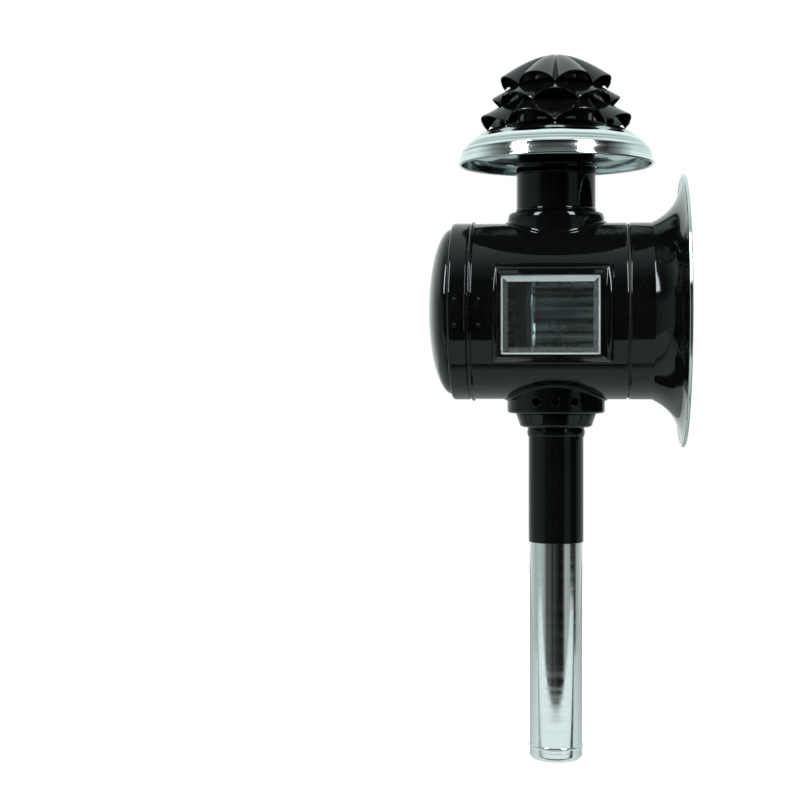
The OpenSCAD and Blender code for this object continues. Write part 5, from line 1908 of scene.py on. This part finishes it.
@dataclass
class Studio:
    """A plain pale table, two tall soft boxes, a white wall behind the lamp and a dim room before it."""

    floor_z: float = -0.290
    floor_end: float = 1.6
    floor_half: float = 0.95
    card_z: float = -0.234
    card_front: float = -0.40
    card_back: float = -0.12
    box_power: float = 72.0
    box_distance: float = 1.25
    box_rise: float = 38.5
    box_height: float = 0.84
    aim_z: float = 0.06
    eye: tuple[float, float, float] = (-0.905, -0.0134, 0.043)
    lens_mm: float = 72.0
    film_mm: float = 36.0
    shift: float = -0.05

    def build(self) -> None:
        """Builds the studio round the lamp."""
        self.world()
        self.soft_box("soft_box_left", 48.0, 0.26)
        self.soft_box("soft_box_right", -41.0, 0.27)
        self.table()
        self.camera()

    def world(self) -> None:
        """Paints what surrounds the lamp: white to the camera, and a studio to metal and paint."""
        world = bpy.data.worlds.new("studio")
        bpy.context.scene.world = world
        world.use_nodes = True
        tree = world.node_tree
        tree.nodes.clear()
        way = add_node(tree, "ShaderNodeTexCoord").outputs["Generated"]
        x, y, up = add_node(tree, "ShaderNodeSeparateXYZ", {0: way}).outputs
        above = add_node(tree, "ShaderNodeMapRange", {0: up, 1: 0.57, 2: 1.0})
        path = add_node(tree, "ShaderNodeLightPath").outputs
        known = sums(tree, {
            "x": x, "y": y, "above": above, "bounces": path["Glossy Depth"],
            "glass": path["Is Transmission Ray"], "camera": path["Is Camera Ray"],
        }, (
            ("toward", "MULTIPLY", "x", -1.0),
            ("bearing", "ARCTAN2", "y", "toward"),
            ("round", "MULTIPLY_ADD", "bearing", 0.5 / math.pi, 0.5),
            ("ceiling", "POWER", "above", 2.0),
            # Glass before the camera shows the white wall, while metal seen through it reflects the room
            ("straight", "LESS_THAN", "bounces", 0.5),
            ("through", "MULTIPLY", "glass", "straight"),
            ("clear", "MAXIMUM", "camera", "through"),
        ))
        # Bearings from the camera's side in degrees, left positive, and the light each sends
        low_ring = (
            (-180, 1.0), (-131, 0.64), (-104, 0.36), (-99, 0.42), (-95, 0.05), (-84, 0.03), (-68, 0.02),
            (-62, 0.34), (-41, 0.42), (-35, 0.08), (-28, 0.004), (-12, 0.008), (0, 0.03), (8, 0.06),
            (15, 0.008), (22, 0.08), (43, 0.09), (49, 0.3), (60, 0.42), (78, 0.5), (101, 0.44),
            (115, 0.55), (131, 0.64), (152, 0.95), (180, 1.0),
        )
        high_ring = (
            (-180, 1.0), (-115, 0.95), (-92, 0.3), (-72, 0.02), (0, 0.008), (66, 0.02), (88, 0.3),
            (115, 0.95), (180, 1.0),
        )
        low, high = (self.ring(tree, known["round"], stops) for stops in (low_ring, high_ring))
        # The low ring gives way to the high one between 6 and 14 degrees above the horizon
        climb = add_node(tree, "ShaderNodeMapRange", {
            0: up, 1: math.sin(math.radians(6)), 2: math.sin(math.radians(14))})
        walls = add_node(tree, "ShaderNodeMix", {0: climb, 6: low, 7: high}, data_type="RGBA").outputs[2]
        room = add_node(tree, "ShaderNodeMix", {
            0: known["ceiling"], 6: walls, 7: (0.93, 1.0, 0.99, 1.0)}, data_type="RGBA").outputs[2]
        studio = add_node(tree, "ShaderNodeBackground", {"Color": room, "Strength": 1.0})
        paper = add_node(tree, "ShaderNodeBackground", {"Color": (1.0, 1.0, 1.0, 1.0), "Strength": 1.0})
        both = add_node(tree, "ShaderNodeMixShader", {0: known["clear"], 1: studio, 2: paper})
        add_node(tree, "ShaderNodeOutputWorld", {"Surface": both})

    def ring(self, tree: Tree, share: Value, stops: Sequence[Point]) -> bpy.types.Node:
        """Blends greys round the horizon.

        Args:
            tree: The world's node tree.
            share: The bearing, from 0 to 1.
            stops: Bearings in degrees and the grey at each.

        Returns:
            The node that gives the colour at the bearing.
        """
        node = add_node(tree, "ShaderNodeValToRGB", {0: share})
        marks = node.color_ramp.elements
        while len(marks) > 1:
            marks.remove(marks[-1])
        for number, (bearing, grey) in enumerate(stops):
            spot = bearing / 360 + 0.5
            mark = marks[0] if number == 0 else marks.new(spot)
            mark.position, mark.color = spot, (0.91 * grey, grey, 0.98 * grey, 1.0)
        return node

    def soft_box(self, name: str, bearing: float, width: float) -> None:
        """Hangs a soft box that faces the lamp.

        Args:
            name: The soft box's name.
            bearing: Degrees left of the camera's side, seen from the lamp.
            width: Its width in metres.
        """
        light = bpy.data.lights.new(name, "AREA")
        light.shape, light.size, light.size_y = "RECTANGLE", width, self.box_height
        light.energy = self.box_power * width * self.box_height
        a, e = math.radians(bearing), math.radians(self.box_rise)
        way = Vector((-math.cos(a) * math.cos(e), math.sin(a) * math.cos(e), math.sin(e)))
        holder = bpy.data.objects.new(name, light)
        bpy.context.scene.collection.objects.link(holder)
        holder.location = Vector((0, 0, self.aim_z)) + way * self.box_distance
        holder.rotation_euler = (-way).to_track_quat("-Z", "Y").to_euler()

    def table(self) -> None:
        """Lays the table and, before the lamp, a higher card; their glow to the camera keeps them white."""
        half = self.floor_half
        mesh = bpy.data.meshes.new("table")
        corners = [(x, y, z) for start, end, z in (
            (self.card_back, self.floor_end, self.floor_z), (self.card_front, self.card_back, self.card_z),
        ) for x, y in ((start, -half), (end, -half), (end, half), (start, half))]
        mesh.from_pydata(corners, [], [(0, 1, 2, 3), (4, 5, 6, 7)])
        top = bpy.data.materials.new("MattWhiteBoard")
        top.use_nodes = True
        tree = top.node_tree
        tree.nodes.clear()
        path = add_node(tree, "ShaderNodeLightPath").outputs
        away = add_node(tree, "ShaderNodeSeparateXYZ", {0: add_node(tree, "ShaderNodeNewGeometry")})
        fade = add_node(tree, "ShaderNodeMapRange", {0: away, 1: 0.1, 2: 0.8, 3: 0.62, 4: 1.0})
        known = sums(tree, {
            "camera": path["Is Camera Ray"], "glass": path["Is Transmission Ray"], "fade": fade,
        }, (
            ("seen", "MAXIMUM", "camera", "glass"),
            ("strength", "MULTIPLY", "seen", "fade"),
        ))
        glow = add_node(tree, "ShaderNodeEmission", {
            "Color": (1.0, 1.0, 1.0, 1.0), "Strength": known["strength"]})
        paper = add_node(tree, "ShaderNodeBsdfDiffuse", {"Color": linear("#B4BAB9")})
        both = add_node(tree, "ShaderNodeAddShader", {0: glow, 1: paper})
        add_node(tree, "ShaderNodeOutputMaterial", {"Surface": both})
        mesh.materials.append(top)
        board = bpy.data.objects.new("table", mesh)
        bpy.context.scene.collection.objects.link(board)

    def camera(self) -> None:
        """Sets the camera where the photograph's stood: level, low and facing the window."""
        lens = bpy.data.cameras.new("camera")
        lens.lens, lens.sensor_width, lens.shift_y = self.lens_mm, self.film_mm, self.shift
        holder = bpy.data.objects.new("camera", lens)
        bpy.context.scene.collection.objects.link(holder)
        holder.location = self.eye
        # The lamp stands 156 of the picture's 800 pixels right of its middle, so the camera looks left of it
        aside, across = 156, 800
        turn = math.atan2(-self.eye[1], -self.eye[0])
        turn += math.atan2(aside, across * self.lens_mm / self.film_mm)
        way = Vector((math.cos(turn), math.sin(turn), 0.0))
        holder.rotation_euler = way.to_track_quat("-Z", "Y").to_euler()
        bpy.context.scene.camera = holder


def main() -> None:
    """Builds the lamp's sub-assemblies and its studio."""
    logging.basicConfig(level=logging.INFO, format="%(name)s %(message)s")
    bpy.context.scene.view_settings.view_transform = "Standard"
    for assembly in (Stem(), Drum(), Bell(), Reflector(), Window(), Chimney(), Crown(), Hinge(), RearDoor(),
                     CandleTube()):
        LOG.info("building %s", type(assembly).__name__)
        assembly.build()
    Studio().build()


if __name__ == "__main__":
    main()
